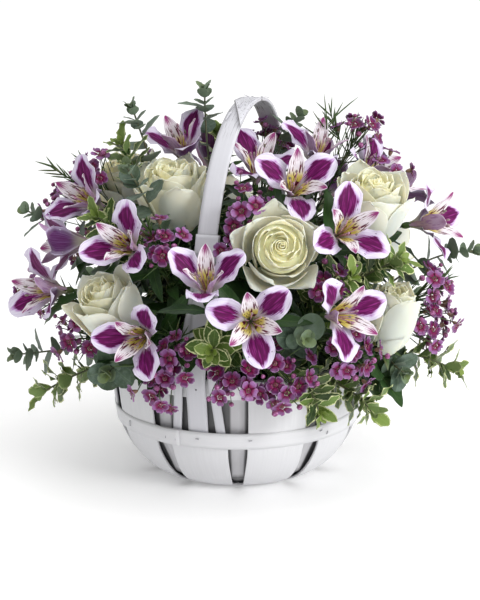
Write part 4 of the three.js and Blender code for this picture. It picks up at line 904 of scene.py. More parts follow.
class Stalk:
    """A stem: its curve, and the straight pieces that the solid has."""

    def __init__(self, ends):
        self.parts = even_points(ends, STEM_PARTS)
        self.curve = even_points(ends, CURVE_PARTS)
        run = run_lengths(self.parts)
        self.length = run[-1]
        self.shares = run / self.length

    def at(self, share):
        """Point and direction on the straight pieces, at a share of the length."""
        i = min(max(int(np.searchsorted(self.shares, share)) - 1, 0), STEM_PARTS - 1)
        a, b = self.parts[i], self.parts[i + 1]
        s = (share - self.shares[i]) / (self.shares[i + 1] - self.shares[i])
        return a + (b - a) * s, unit(b - a)

    def drift(self, share):
        """How far the round curve lies from the straight pieces there."""
        return between(share, taper(0, 1), self.curve) - self.at(share)[0]


def stem_ends(end, arrive, turn, rise):
    """The four points of a stem's curve: it leaves the foam towards its end, raised and turned."""
    aim = end - FOCUS
    azimuth = math.degrees(math.atan2(aim[0], -aim[1])) + turn
    elevation = math.degrees(math.atan2(aim[2], math.hypot(aim[0], aim[1])))
    ray = direction(azimuth, min(88, max(LOWEST_STEM, elevation) + rise))
    return curve_ends(FOCUS + ray * STEM_START, ray, 0.4, end, arrive)


def curve_ends(start, leave, pull, end, arrive):
    """From a start, pulled along the direction in which it leaves, to an end and the way in."""
    reach = np.linalg.norm(end - start)
    return [start, start + leave * pull * reach, end - arrive * 0.3 * reach, end]


def found(solid, radius, candidates, checked):
    """The candidate whose straight pieces have the solid's ring corners one radius away."""
    stalks = [Stalk(ends) for ends in candidates]
    miss = [sum(abs(solid.gap(s.parts[i]) - radius) for i in checked) for s in stalks]
    best = int(np.argmin(miss))
    return stalks[best] if miss[best] < 2.5 else None


def grow_stalks(index, name, kind, spots, solid):
    """Gives each spot its stalk, the stem first and then branches of it, and the seed of its small
    differences."""
    grown = []
    for spot in spots:
        arrive = direction(*spot["arrive"])
        end = spot["at"] - arrive * HEAD_DEPTH.get(kind, 0) * spot["size"]
        if grown:
            candidates = [
                curve_ends(*grown[0]["stalk"].at(share), pull, end, arrive)
                for share in (0.34, 0.5, 0.2, 0.66)
                for pull in (0.35, 0.15, 0.55)
            ]
        else:
            candidates = [stem_ends(end, arrive, *attempt) for attempt in STEM_TRIES]
        stalk = found(solid, STEM_RADIUS[kind], candidates, (1, 2) if grown else (0, 1, 2))
        if stalk is None:
            print("no stalk for", name, spot["at"])
            continue
        more = {"name": name, "kind": kind, "seed": index + 3 * len(grown), "first": not grown}
        grown.append({**spot, **more, "stalk": stalk})
    return grown


NUDGE = 0.01


def round_stem(root, tangent, nudge=0.0):
    """Two directions square to a stem, one of them level with the foam's common point. The nudge
    parts them where the stem comes straight from that point."""
    side = unit(np.cross(root - FOCUS + nudge, tangent))
    return side, np.cross(tangent, side)


print("ways in which a stem may bend", len(STEM_TRIES))

# %% [markdown]
# ## Leaves and petals as blades
# A blade is a midline that bends away from its upper face by an arc, with a width that grows from a
# narrow claw to its widest place and closes again at the tip. Cup and wave lift its edges. One leaf
# could be modelled and copied, but then all would bend alike. As a function, each has its own bend.

# %% One blade, as a function of along and across
BLADES = {
    "outer tepal": dict(length=54, width=32, widest=0.64, claw=0.05, root=2.2, tip=0.5, cup=0.12, wave=0),
    "inner tepal": dict(length=50, width=16, widest=0.6, claw=0.1, root=1.4, tip=0.7, cup=0.3, wave=0),
    "broad leaf": dict(length=50, width=29, widest=0.42, claw=0, root=0.7, tip=0.9, cup=0.16, wave=0),
    "coin leaf": dict(length=26, width=24, widest=0.52, claw=0, root=0.6, tip=0.5, cup=0.1, wave=0),
    "wavy leaf": dict(length=30, width=15, widest=0.58, claw=0, root=0.9, tip=0.8, cup=0.1, wave=0.16),
    "lance leaf": dict(length=52, width=11, widest=0.45, claw=0.1, root=0.8, tip=0.9, cup=0.2, wave=0.05),
}
BLADE_TRIES = [(0, 1), (-16, 1), (16, 1), (-32, 0.96), (32, 0.96), (0, 0.8), (-26, 0.8), (26, 0.8)]
BLADE_TRIES += [(-48, 0.85), (48, 0.85), (-14, 0.62), (34, 0.62), (-60, 0.62), (0, 0.45)]


def outline(t, widest, claw, root, tip):
    """Share of the full width at t: (1 - q^2) to a power, q being the distance from the widest
    place, with one power towards the root and another towards the tip."""
    rooting = t < widest
    q = np.where(rooting, 1 - t / widest, (t - widest) / (1 - widest))
    full = np.maximum(0, 1 - q * q) ** np.where(rooting, root, tip)
    return np.where(rooting, claw + (1 - claw) * full, full)


def blade(kind, root, along, up, bend, size, t, v, ruffle=0.0, phase=0.0, teeth=0.0):
    """Midline: an arc of the given bend. Edges: half the width times the outline, lifted by
    cup v^2 and a wave sin(4 pi t). Ruffle adds a finer wave and teeth a saw edge, for looks only."""
    k = BLADES[kind]
    across = unit(np.cross(along, up))
    arc = bend if abs(bend) > 0.01 else 0.01
    length = k["length"] * size
    turn = arc * t
    run, drop = length * np.sin(turn) / arc, length * (1 - np.cos(turn)) / arc
    half = k["width"] / 2 * size * outline(t, k["widest"], k["claw"], k["root"], k["tip"])
    saw = 1 + teeth * (np.abs(((t * 13) % 1) - 0.5) - 0.25) * np.abs(v) ** 3
    wave = k["wave"] * np.sin(4 * math.pi * t + 1.2) * np.abs(v)
    ruffled = ruffle * np.sin(19 * t + phase + 1.7 * np.sign(v)) * np.abs(v) ** 3
    rise = half * (k["cup"] * v * v + wave + ruffled)
    p = [x[..., None] for x in (run + rise * np.sin(turn), rise * np.cos(turn) - drop, half * saw * v)]
    return root + p[0] * along + p[1] * up + p[2] * across


def spread_grid(rows, columns):
    """Along from root to tip and across from edge to edge, closer together near the ends."""
    t = (1 - np.cos(np.linspace(0, math.pi, rows))) / 2 * 0.998
    v = np.sin(np.linspace(-1, 1, columns) * math.pi / 2)
    return np.meshgrid(t, v, indexing="ij")


TIP = (np.array(1.0), np.array(0.0))


def read_blade(solid, kind, root, along, up, bend, size, limit=1.5):
    """The bend and size that the solid's own blade took, or None if it has none."""
    tries = [(bend + math.radians(more), size * scale) for more, scale in BLADE_TRIES]
    which = solid.nearest([blade(kind, root, along, up, b, s, *TIP) for b, s in tries], limit)
    return None if which is None else tries[which]


print("blades:", ", ".join(BLADES))

# %% [markdown]
# Leaf finishes: a midrib and side veins follow the leaf's own map, the underside is paler, and no
# two leaves have the same green. The wavy leaf is cream along its margin, in uneven bites.

# %% Green finishes
def leaf_finish(name, dark, light, under, vein, roughness, veins, margin=None, bloom=None,
                sheen=0.0, tipped=None):
    """Green mixed by a shade per leaf and a soft mottling; midrib at across = 1/2, side veins where
    the fraction of (along x count - distance from the midrib) is small."""
    p = Paint(name, roughness, sheen=sheen, subsurface=0.02, shine=0.25)
    along, edge = p.along(), p.edge()
    mottle = p.noise(260, p.place(), 4)
    tone = p.plus(p.times(p.look("shade"), 0.7), p.times(mottle, 0.45))
    colour = p.blend(p.step(tone, 0.15, 0.95), dark, light)
    rib = p.step(edge, 0.07, 0.02)
    slant = p.minus(p.times(along, float(veins)), p.times(edge, 1.6))
    comb = p.math("ABSOLUTE", p.minus(p.math("FRACT", slant), 0.5))
    lines = p.math("MAXIMUM", rib, p.times(p.step(comb, 0.07, 0.01), 0.5))
    colour = p.blend(lines, colour, vein, 0.55)
    if margin:
        rim = p.plus(edge, p.wander(p.streaks(2.2, 9, 3), 0.95))
        rim = p.plus(rim, p.times(p.step(along, 0.86, 1.0), 0.3))
        colour = p.blend(p.step(rim, 0.74, 0.86), colour, margin)
    if tipped:
        colour = p.blend(p.look("age"), colour, tipped, 0.85)
    if bloom:
        powder = p.noise(90, p.place(), 5, 0.65)
        colour = p.blend(p.step(powder, 0.38, 0.72), colour, bloom, 0.6)
    colour = p.blend(p.look("side"), colour, under, 0.75)
    return p.finish(colour, lines, -0.4, 0.0005)


def stalk_finish(name, dark, light, roughness=0.5):
    """Green along the stalk in long streaks, with a brown blush here and there."""
    p = Paint(name, roughness)
    streak = p.streaks(9, 2, 3)
    blush = p.noise(70, p.place(), 3)
    colour = p.blend(p.step(streak, 0.3, 0.7), dark, light)
    colour = p.blend(p.step(blush, 0.5, 0.75), colour, (0.13, 0.075, 0.035), 0.5)
    return p.finish(colour, streak, 0.3)


BROAD_LEAF = leaf_finish("broad_leaf", (0.008, 0.026, 0.007), (0.028, 0.075, 0.016), (0.06, 0.11, 0.045),
                         (0.07, 0.13, 0.035), 0.4, 10)
COIN_LEAF = leaf_finish("coin_leaf", (0.028, 0.056, 0.032), (0.11, 0.165, 0.10), (0.16, 0.22, 0.15),
                        (0.12, 0.19, 0.10), 0.6, 5, bloom=(0.17, 0.235, 0.19), sheen=0.1,
                        tipped=(0.15, 0.20, 0.06))
WAVY_LEAF = leaf_finish("wavy_leaf", (0.02, 0.055, 0.009), (0.115, 0.19, 0.035), (0.16, 0.23, 0.09),
                        (0.17, 0.25, 0.07), 0.42, 8, margin=(0.60, 0.63, 0.33), tipped=(0.17, 0.24, 0.04))
STALK_GREEN = stalk_finish("stalk_green", (0.025, 0.06, 0.012), (0.08, 0.14, 0.035))
STALK_GREY = stalk_finish("stalk_grey", (0.06, 0.075, 0.035), (0.14, 0.15, 0.08))
print("finishes", len(bpy.data.materials))

# %% [markdown]
# ## Roses
# A rose petal is a spoon wrapped round the flower's axis. Its midline is a curve of reach and
# height; its width goes round the axis, with one edge further out, so that each petal tucks under
# the next. The outer ones open and roll their lips back, the inner ones stay shut in a spiral.
# Petals could be sculpted by hand, but one formula serves all nine blooms, shut or wide open.

# %% Rose petals
RING_PARTS = ("count", "start", "root", "round", "belly", "reach", "height", "age")
# The first three rings are in the solids. The others stand between them and in the shut heart.
# Belly, reach and height are given for a shut bloom and for an open one.
ROSE_RINGS = [dict(zip(RING_PARTS, row)) for row in (
    (5, 90, (3, -42), 35, (25, 29), (27, 43), (13, -2), 0.0),
    (3, 40, (6.4, -31), 56, (20, 22), (19, 28), (15, 10), 0.4),
    (3, 100, (7, -18), 54, (14, 15), (12, 17), (16, 13), 0.75),
    (3, 20, (5, -38), 62, (23.5, 27), (24, 34), (14, 6), 0.12),
    (3, 75, (6.4, -26), 62, (17.5, 19), (16.5, 20.5), (15.4, 12.6), 0.5),
    (3, 15, (6, -22), 62, (15, 16.5), (13.6, 17.8), (15.8, 13.2), 0.62),
    (3, 20, (5, -14), 66, (11, 12.5), (9.8, 12.6), (16.3, 14), 0.88),
    (3, 80, (4, -10), 70, (9, 10), (7.8, 9.8), (16.5, 14.2), 1.0),
    (3, 50, (3, -8), 76, (7, 8), (6, 7.2), (16.4, 14), 1.0),
)]
RINGS_IN_SOLID, OUTSIDE_RINGS, WIDE_OPEN, PINWHEEL = 3, (0, 3), 0.8, 1.5


def on_bloom(spot, angle, reach, height):
    """Points round a bloom's axis, from its turn, its distance from the axis and how far forward."""
    axis, right, up = spot["frame"]
    aside, above, ahead = (x[..., None] for x in (reach * np.cos(angle), reach * np.sin(angle), height))
    return spot["at"] + aside * right + above * up + ahead * axis


def rose_petal(spot, ring, turn, more, scale, t, v, lip=0, phase=0, close=0, rise=0, fold=0, flat=0):
    """Reach and height follow a cubic curve of t; the angle is turn + v times the half-width.
    Lip rolls the edge outwards and down; with fold only its two corners go, down and under, so that
    the middle stays as a point. Close draws the tip in, rise lifts it, and flat lifts the belly, which
    lays the tip open. Phase shifts a slow ruffle of the edge."""
    size = spot["size"]
    belly, tip_reach, tip_height = (
        (shut + (wide - shut) * spot["open"]) * size
        for shut, wide in (ring["belly"], ring["reach"], ring["height"])
    )
    x0, z0 = ring["root"]
    x1 = tip_reach + 14 * math.sin(more)
    ends = [(x0 * size, z0 * size), (belly * 1.2, (z0 + 2) * size)]
    ends += [(belly, tip_height - (22 - flat) * size), (x1, tip_height)]
    middle = bezier(ends, np.clip(t * scale, 0, 1))
    half = math.radians(ring["round"]) * scale * outline(t, 0.66, 0.1, 0.8, 0.5)
    angle = math.radians(turn) + v * half
    corner = smooth(0.15, 0.9, np.abs(v))
    roll = smooth(0.62, 1.0, t) * (1 - fold + fold * corner)
    reach = middle[..., 0] * (1 - close * t * t) + PINWHEEL * size * v
    reach = reach + lip * size * roll * (1 - 2.6 * fold * corner)
    reach = reach + lip * 0.35 * size * np.sin(2.3 * v + phase) * t**3
    height = middle[..., 1] + rise * size * t * t - lip * 1.25 * size * roll**2
    height = height + 0.35 * lip * np.cos(3.1 * v + phase) * t**4
    return on_bloom(spot, angle, reach, height)


print("rose rings", len(ROSE_RINGS), "petals", sum(ring["count"] for ring in ROSE_RINGS))

# %% [markdown]
# A rose isn't white all over: its heart is butter yellow, its claws are green and its outer petals
# carry a bruise or two. Under the petals' lips the heart is a dome, and its middle a wound spiral.

# %% Petal finish and heart
def petal_finish():
    """Cream: greener at the claw, warmer in the heart, faintly veined along, nearly white outside."""
    p = Paint("rose_petal", 0.6, sheen=0.03, subsurface=0.6, shine=0.25)
    along = p.along()
    vein = p.streaks(42, 2.5, 3)
    blotch = p.noise(45, p.place(), 3)
    outer = p.blend(p.step(p.look("shade"), 0.0, 1.0), (0.76, 0.75, 0.57), (0.82, 0.81, 0.66))
    heart = p.blend(p.step(along, 0.45, 0.97), (0.90, 0.78, 0.31), (0.91, 0.87, 0.56))
    colour = p.blend(p.step(p.look("age"), 0.2, 0.95), outer, heart)
    colour = p.blend(p.step(along, 0.25, 0.02), colour, (0.66, 0.68, 0.34))
    colour = p.blend(p.step(blotch, 0.45, 0.75), colour, (0.76, 0.77, 0.54), 0.3)
    colour = p.blend(p.step(vein, 0.5, 0.8), colour, (0.78, 0.78, 0.54), 0.12)
    return p.finish(colour, vein, 0.12, 0.0003)


ROSE_PETAL = petal_finish()


def packed_heart(spot):
    """The tight mass of petals under the lips of the inner rings: a shallow dome."""
    share = np.linspace(0.02, 1, 7)[:, None]
    turn = np.linspace(0, 2 * math.pi, 24, endpoint=False)
    reach = share * ((19 + 9 * spot["open"]) * 0.86 - 1.5) * spot["size"]
    height = (5.4 - (0.8 + 2.8 * max(0, spot["open"])) * share**2) * spot["size"]
    return on_bloom(spot, turn, reach, height + 0 * turn)


def spiral_heart(spot):
    """The shut middle: one petal wound up, its turn and reach growing together, waved at its lip."""
    t, s = np.meshgrid(np.linspace(0, 1, 8), np.linspace(0, 1, 46), indexing="ij")
    angle = s * 5.4 * math.pi + spot["seed"]
    reach = (0.6 + 5.2 * s) * spot["size"] * (0.75 + 0.25 * t)
    height = (-6 + (20.5 + 1.2 * np.sin(3 * angle) - 3.6 * s) * t) * spot["size"]
    return on_bloom(spot, angle, reach, height)


print("rose petal", ROSE_PETAL.name)

# %% [markdown]
# A leaf sits on the stem's straight pieces in the solids, and moves with the round stem here. Where
# there is room the finer surface has more leaves, which is what makes the bunch look full.

# %% Leaves on a stem
def add_blade(skin, stalk, share, kind, root, along, up, bend, size, finish, grid, thickness=0.5, **looks):
    """One blade on the stem's round curve, thin at its edges."""
    t, v = grid
    shape = {key: looks.pop(key) for key in ("ruffle", "phase", "teeth") if key in looks}
    points = blade(kind, root + stalk.drift(share), along, up, bend, size, t, v, **shape)
    skin.sheet(points, thickness * (0.35 + 0.65 * (1 - v * v) * (1 - t)), finish, places=grid, **looks)


LEAF_GRID = spread_grid(14, 9)


# Places on a leaf that are held against its neighbours: half-way up, its two edges, tip and middle.
PROBE = (np.array([0.45, 0.75, 0.75, 1.0, 0.75]), np.array([0, -0.9, 0.9, 0, 0]))


def extra_leaves(spot, skin, kind, shares, finish, size, later=0,
                 bend=22, room=2.5, grid=LEAF_GRID, angle=52, **looks):
    """Leaves that only the finer surface has, at shares of the stem: each is kept only where it has
    room. A second round of leaves has a later seed."""
    stalk, seed, bend = spot["stalk"], spot["seed"] + later, math.radians(bend)
    for i, share in enumerate(shares):
        root, tangent = stalk.at(share)
        out = turned(*round_stem(root, tangent, NUDGE), math.radians(GOLDEN_ANGLE * i + 51 * seed))
        along, up = leant(tangent, out, math.radians(angle + vary(i + seed, -10, 14)))
        for scale in (1, 0.75, 0.55):
            s = size * scale * vary(i * 2 + seed, 0.85, 1.1)
            if has_room(blade(kind, root, along, up, bend, s, *PROBE), spot["name"], room):
                add_blade(skin, stalk, share, kind, root, along, up, bend, s, finish, grid,
                          shade=vary(i * 5 + seed, 0.05, 0.95), phase=seed + i, **looks)
                break


print("places held against the neighbours", len(PROBE[0]))

# %% [markdown]
# A bloom that is wide open rolls its outer lips less and lays them flatter, and one that is nearly
# shut draws its tips in. The same rules serve all nine roses, so each is told by one number.

# %% Dressing a rose
def petal_manner(opened, level, age):
    """How far a ring's petals roll, draw in, rise, fold their corners and lie flat."""
    outside = level in OUTSIDE_RINGS
    lip = (1 - age) ** 2 * (1.0 + 2.6 * max(0, opened) ** 1.5) + 0.7
    close = 0.13 if level in (1, 2) else 0
    rise = 8 * (1 - opened) if level == 0 else 0
    if opened < 0:
        close, rise = (0.34, -4) if level == 0 else (close, 2.5)
    fold, flat = 0.4 if outside else 0.15, 0.0
    if outside and opened > WIDE_OPEN:
        lip, fold, flat = lip * 0.62, 0.9, 11.0 if level == 0 else 8.0
    return lip, close, rise, fold, flat


def add_petals(spot, solid, skin):
    """Every ring of petals. Those of the solid's own rings take the lean and size they have there."""
    seed = spot["seed"]
    t, v = grid = spread_grid(15, 15)
    tries = [(math.radians(more), scale) for more, scale in BLADE_TRIES]
    for level, ring in enumerate(ROSE_RINGS):
        lip, near, high, fold, flat = petal_manner(spot["open"], level, ring["age"])
        for i in range(ring["count"]):
            turn = ring["start"] + 360 / ring["count"] * i
            more, scale = 0.0, 1.0
            if level < RINGS_IN_SOLID:
                which = solid.nearest([rose_petal(spot, ring, turn, *attempt, *TIP) for attempt in tries])
                if which is None:
                    print("no petal", spot["name"], level, i)
                    continue
                more, scale = tries[which]
            close, rise = near, high
            if level not in OUTSIDE_RINGS:
                rise += vary(i * 5 + level * 3 + seed, -1.5, 1.7)
                close += vary(i * 7 + level + seed, -0.05, 0.07)
            phase = seed + 2.1 * i + level
            points = rose_petal(spot, ring, turn, more, scale, t, v, lip, phase, close, rise, fold, flat)
            shade = vary(i * 3 + level + seed, 0, 1)
            skin.sheet(points, 0.5 - 0.25 * t, ROSE_PETAL, shade, ring["age"], places=grid)


def dress_rose(spot, solid, skin):
    """Petals, heart, stem, five sepals under the bloom, and leaves down the stem."""
    axis, right, up = spot["frame"] = face_frame(spot["face"], 0)
    stalk, seed = spot["stalk"], spot["seed"]
    add_petals(spot, solid, skin)
    middle = (np.full((7, 24), 0.5), np.zeros((7, 24)))
    skin.sheet(packed_heart(spot), 0.5, ROSE_PETAL, 0.5, 0.62, wrap=True, places=middle)
    skin.sheet(spiral_heart(spot), 0.45, ROSE_PETAL, 0.5, 1.0)
    skin.tube(stalk.curve, [2.0] * (CURVE_PARTS - 1) + [2.6, 5.2], STALK_GREEN, 8, 0.4)
    for i in range(5):
        along, upper = leant(axis, turned(right, up, math.radians(72 * i + 30)), math.radians(62))
        add_blade(skin, stalk, 1.0, "lance leaf", stalk.parts[-1] + axis * 3, along, upper,
                  math.radians(75), 0.5 * spot["size"], STALK_GREEN, spread_grid(8, 5), shade=0.5)
    for i in range(spot["leaves"]):
        share = 0.9 - 0.13 * i
        root, tangent = stalk.at(share)
        out = turned(*round_stem(root, tangent), math.radians(GOLDEN_ANGLE * i + 70 * seed))
        along, upper = leant(tangent, out, math.radians(50))
        got = read_blade(solid, "broad leaf", root, along, upper, math.radians(20), 1)
        if got:
            add_blade(skin, stalk, share, "broad leaf", root, along, upper, *got, BROAD_LEAF, LEAF_GRID,
                      shade=vary(i + seed, 0.1, 0.9), ruffle=0.1, teeth=0.22, phase=seed + i)
    extra_leaves(spot, skin, "broad leaf", np.linspace(0.95, 0.12, 20), BROAD_LEAF, 0.95,
                 room=1.2, ruffle=0.12, teeth=0.22)
    extra_leaves(spot, skin, "broad leaf", np.linspace(0.5, 0.05, 18), BROAD_LEAF, 0.7, 7,
                 room=0.8, angle=66, ruffle=0.12, teeth=0.22)


print("how three blooms roll their lips:", [round(petal_manner(x, 0, 0)[0], 2) for x in (-0.6, 0.4, 1)])

# %% [markdown]
# ## Alstroemerias
# Six tepals in two whorls. The three broad outer ones are white with a magenta flame; the three
# narrow inner ones are yellow at the base with dark dashes, and purple at the tip.

# %% Tepal and stamen finishes
def outer_tepal_finish():
    """White to lilac, with a flame of magenta: a noisy oval round along 0.68, split by veins."""
    p = Paint("outer_tepal", 0.5, subsurface=0.03, shine=0.12)
    along, edge = p.along(), p.edge()
    vein = p.streaks(22, 1.3, 4)
    bite = p.streaks(9, 3.5, 4)
    past = p.minus(along, 0.68)
    away = p.plus(p.times(p.math("ABSOLUTE", past), 1.75), p.times(past, 0.35))
    far = p.plus(away, p.times(p.math("POWER", edge, 2.0), 1.12))
    far = p.plus(far, p.wander(bite, 0.5))
    streaky = p.times(p.minus(vein, 0.5), p.step(along, 0.95, 0.4))
    far = p.plus(far, p.times(streaky, 1.6))
    far = p.minus(far, p.times(p.look("shade"), 0.16))
    pale = p.blend(p.step(vein, 0.42, 0.75), (0.70, 0.66, 0.77), (0.50, 0.39, 0.60))
    glow = p.blend(p.step(bite, 0.4, 0.68), (0.12, 0.003, 0.075), (0.26, 0.02, 0.19))
    flame = p.blend(p.step(vein, 0.3, 0.7), glow, (0.055, 0.002, 0.04))
    halo = p.blend(p.step(far, 0.62, 0.42), pale, (0.44, 0.22, 0.50))
    colour = p.blend(p.step(far, 0.48, 0.36), halo, flame)
    base = p.plus(along, p.wander(vein, 0.6))
    colour = p.blend(p.step(base, 0.44, 0.24), colour, (0.62, 0.58, 0.58))
    colour = p.blend(p.step(along, 0.26, 0.06), colour, (0.50, 0.50, 0.30))
    lilac = p.blend(p.step(edge, 0.66, 1.0), (0.085, 0.022, 0.095), (0.50, 0.43, 0.60))
    back = p.blend(p.step(vein, 0.4, 0.7), lilac, (0.155, 0.07, 0.20))
    back = p.blend(p.step(along, 0.4, 0.12), back, (0.38, 0.36, 0.28))
    return p.finish(p.blend(p.look("side"), colour, back, 0.92), vein, 0.3, 0.0004)


def inner_tepal_finish():
    """Yellow base with dark dashes drawn along the tepal, a pale middle and a purple tip."""
    p = Paint("inner_tepal", 0.48, subsurface=0.05, shine=0.15)
    along = p.along()
    dash = p.streaks(11, 5.5, 1, 0.4)
    vein = p.streaks(24, 1.5, 3)
    tip = p.plus(along, p.wander(vein, 0.5))
    colour = p.blend(p.step(along, 0.42, 0.62), (0.66, 0.58, 0.13), (0.80, 0.76, 0.80))
    blush = p.times(p.step(tip, 0.76, 0.92), p.step(p.edge(), 0.95, 0.5))
    colour = p.blend(blush, colour, (0.22, 0.012, 0.13))
    colour = p.blend(p.step(along, 0.2, 0.05), colour, (0.45, 0.5, 0.2))
    marks = p.times(p.step(dash, 0.54, 0.60), p.step(along, 0.82, 0.7))
    colour = p.blend(marks, colour, (0.10, 0.008, 0.03))
    colour = p.blend(p.step(vein, 0.45, 0.8), colour, (0.55, 0.25, 0.4), 0.3)
    return p.finish(p.blend(p.look("side"), colour, (0.40, 0.24, 0.42), 0.8), vein, 0.3, 0.0003)


def thread_finish():
    """Stamen threads: pink-violet with a dusty grain, and anthers darkened towards grey-brown by their age.
    """
    p = Paint("stamen", 0.5)
    dust = p.noise(900, p.place(), 2)
    colour = p.blend(p.step(dust, 0.35, 0.65), (0.42, 0.15, 0.30), (0.60, 0.38, 0.48))
    return p.finish(p.blend(p.look("age"), colour, (0.17, 0.15, 0.11)), dust, 0.4)


OUTER_TEPAL, INNER_TEPAL, THREAD = outer_tepal_finish(), inner_tepal_finish(), thread_finish()
print("flower finishes", len(bpy.data.materials))

# %% [markdown]
# The tepals stand round a narrow throat. Outer and inner ones take turns and lean out differently,
# so a whorl is told by a short list of numbers.

# %% Dressing an alstroemeria
THROAT_DEPTH, THROAT_RADIUS = 18, 2.7
WHORLS = [
    dict(kind="outer tepal", finish=OUTER_TEPAL, tilt=14, bend=68, trim=0.86, ruffle=0.3,
         grid=spread_grid(15, 13)),
    dict(kind="inner tepal", finish=INNER_TEPAL, tilt=8, bend=38, trim=0.94, ruffle=0.15,
         grid=spread_grid(13, 9)),
]
ANTHER = [0.5, 1.0, 1.15, 1.0, 0.5]


def add_stamens(spot, skin, throat):
    """Six threads that bow out and up from the throat, each with a swollen anther."""
    axis, right, up = spot["frame"]
    seed = spot["seed"]
    s = np.linspace(0, 1, 7)[:, None]
    for i in range(6):
        out = turned(right, up, math.radians(60 * i + 25 + seed * 17))
        rise = axis * (36 + vary(i + seed, -6, 3)) * s
        sway = (out * 6 - up * 5) * s**2 + up * 5 * s**3
        line = throat + (out * 1.6 + rise + sway) * spot["size"]
        skin.tube(line, 0.42, THREAD, 4)
        anther = line[-1] + axis * np.linspace(-1, 1, len(ANTHER))[:, None] * 2.1
        skin.tube(anther, ANTHER, THREAD, age=vary(i * 2 + seed, 0.3, 1))


def dress_alstroemeria(spot, solid, skin):
    """Six tepals and six stamens, the green neck below them, the stem and its leaves."""
    axis, right, up = spot["frame"] = face_frame(spot["face"], spot["roll"])
    size, stalk, seed = spot["size"], spot["stalk"], spot["seed"]
    throat = spot["at"] - axis * THROAT_DEPTH * size
    for i in range(6):
        whorl = WHORLS[i % 2]
        t, v = whorl["grid"]
        out = turned(right, up, math.radians(90 - 60 * i))
        along, upper = leant(axis, out, math.radians(whorl["tilt"]))
        bend = math.radians(whorl["bend"] + vary(i * 3 + spot["at"][0], -6, 8))
        root = throat + out * THROAT_RADIUS * size
        got = read_blade(solid, whorl["kind"], root, along, upper, bend, size)
        if got is None:
            print("no tepal", spot["name"], i)
            continue
        points = blade(whorl["kind"], root, along, upper, *got, t, v * whorl["trim"], whorl["ruffle"],
                       seed + 2.3 * i)
        skin.sheet(points, 0.7 - 0.35 * t, whorl["finish"], vary(i * 5 + seed, 0, 1), places=(t, v))
    add_stamens(spot, skin, throat)
    base = np.linspace(0, 1, 6)[:, None]
    neck = stalk.curve[-1] * (1 - base) + (throat + axis * 1.5) * base
    skin.tube(neck, [1.7, 3.0, 3.5, 3.2, 2.9, 2.4], STALK_GREEN, 8, 0.7)
    skin.tube(stalk.curve, taper(1.7, 1.5), STALK_GREEN)
    extra_leaves(spot, skin, "lance leaf", np.linspace(0.92, 0.15, 14), BROAD_LEAF, 1.1,
                 bend=45, room=1.2, ruffle=0.2)
    extra_leaves(spot, skin, "lance leaf", np.linspace(0.45, 0.05, 12), BROAD_LEAF, 0.9, 5,
                 bend=35, room=0.8, angle=66, ruffle=0.2)


print("whorls:", ", ".join(whorl["kind"] for whorl in WHORLS))

# %% [markdown]
# ## Waxflowers
# Tiny five-petalled flowers on wiry stalks, among needles. Up close each petal is waxy, deep pink
# towards a wine-red cup and pale at its rim, and no two florets of a head are quite the same.

# %% Waxflower finishes
def wax_petal_finish():
    """Waxy pink: deeper towards the cup and in some florets, with a pale edge and faint veins."""
    p = Paint("wax_petal", 0.35, subsurface=0.03, shine=0.2)
    along = p.along()
    vein = p.streaks(10, 2, 3)
    colour = p.blend(p.step(p.look("shade"), 0.15, 0.95), (0.075, 0.011, 0.068), (0.27, 0.125, 0.305))
    rim = p.math("MAXIMUM", p.step(along, 0.72, 1.0), p.step(p.edge(), 0.7, 1.0))
    colour = p.blend(rim, colour, (0.44, 0.30, 0.51), 0.6)
    colour = p.blend(p.step(along, 0.66, 0.24), colour, (0.13, 0.004, 0.04))
    colour = p.blend(p.step(vein, 0.4, 0.7), colour, (0.24, 0.02, 0.15), 0.55)
    return p.finish(colour, vein, 0.25, 0.0002)


def cup_finish():
    """The cup: wine red inside, greenish pink outside, set with fine pale dots at its rim."""
    p = Paint("wax_cup", 0.4, shine=0.3)
    dots = p.noise(1400, p.place(), 1)
    inside = p.blend(p.step(dots, 0.6, 0.68), (0.11, 0.004, 0.03), (0.55, 0.35, 0.42))
    outside = p.blend(p.noise(500, p.place(), 2), (0.19, 0.07, 0.09), (0.24, 0.19, 0.08))
    return p.finish(p.blend(p.look("age"), outside, inside), dots, 0.3, 0.0002)


def bud_finish():
    """Buds: rosy purple with a paler crown and a slight wax."""
    p = Paint("wax_bud", 0.35, subsurface=0.03, shine=0.3)
    spots = p.noise(600, p.place(), 3)
    colour = p.blend(p.step(p.along(), 0.3, 0.9), (0.13, 0.03, 0.06), (0.21, 0.045, 0.15))
    return p.finish(p.blend(p.step(spots, 0.45, 0.75), colour, (0.50, 0.22, 0.42)), spots, 0.2, 0.0002)


WAX_PETAL, WAX_CUP, WAX_BUD = wax_petal_finish(), cup_finish(), bud_finish()
NEEDLE = stalk_finish("needle_green", (0.022, 0.055, 0.01), (0.065, 0.12, 0.025), 0.45)
print("finishes", len(bpy.data.materials))

# %% [markdown]
# Each floret is a dark cup with round petals about it. There are hundreds, so the same few faces
# serve for all of them: four points across a petal and five along it.

# %% Florets, buds and needles
FLORET_RADIUS, FLORET_CUP = 7.5, 4.5
PETAL_GRID = np.meshgrid([0.05, 0.35, 0.65, 0.86, 0.99], [-1, -0.5, 0.5, 1], indexing="ij")


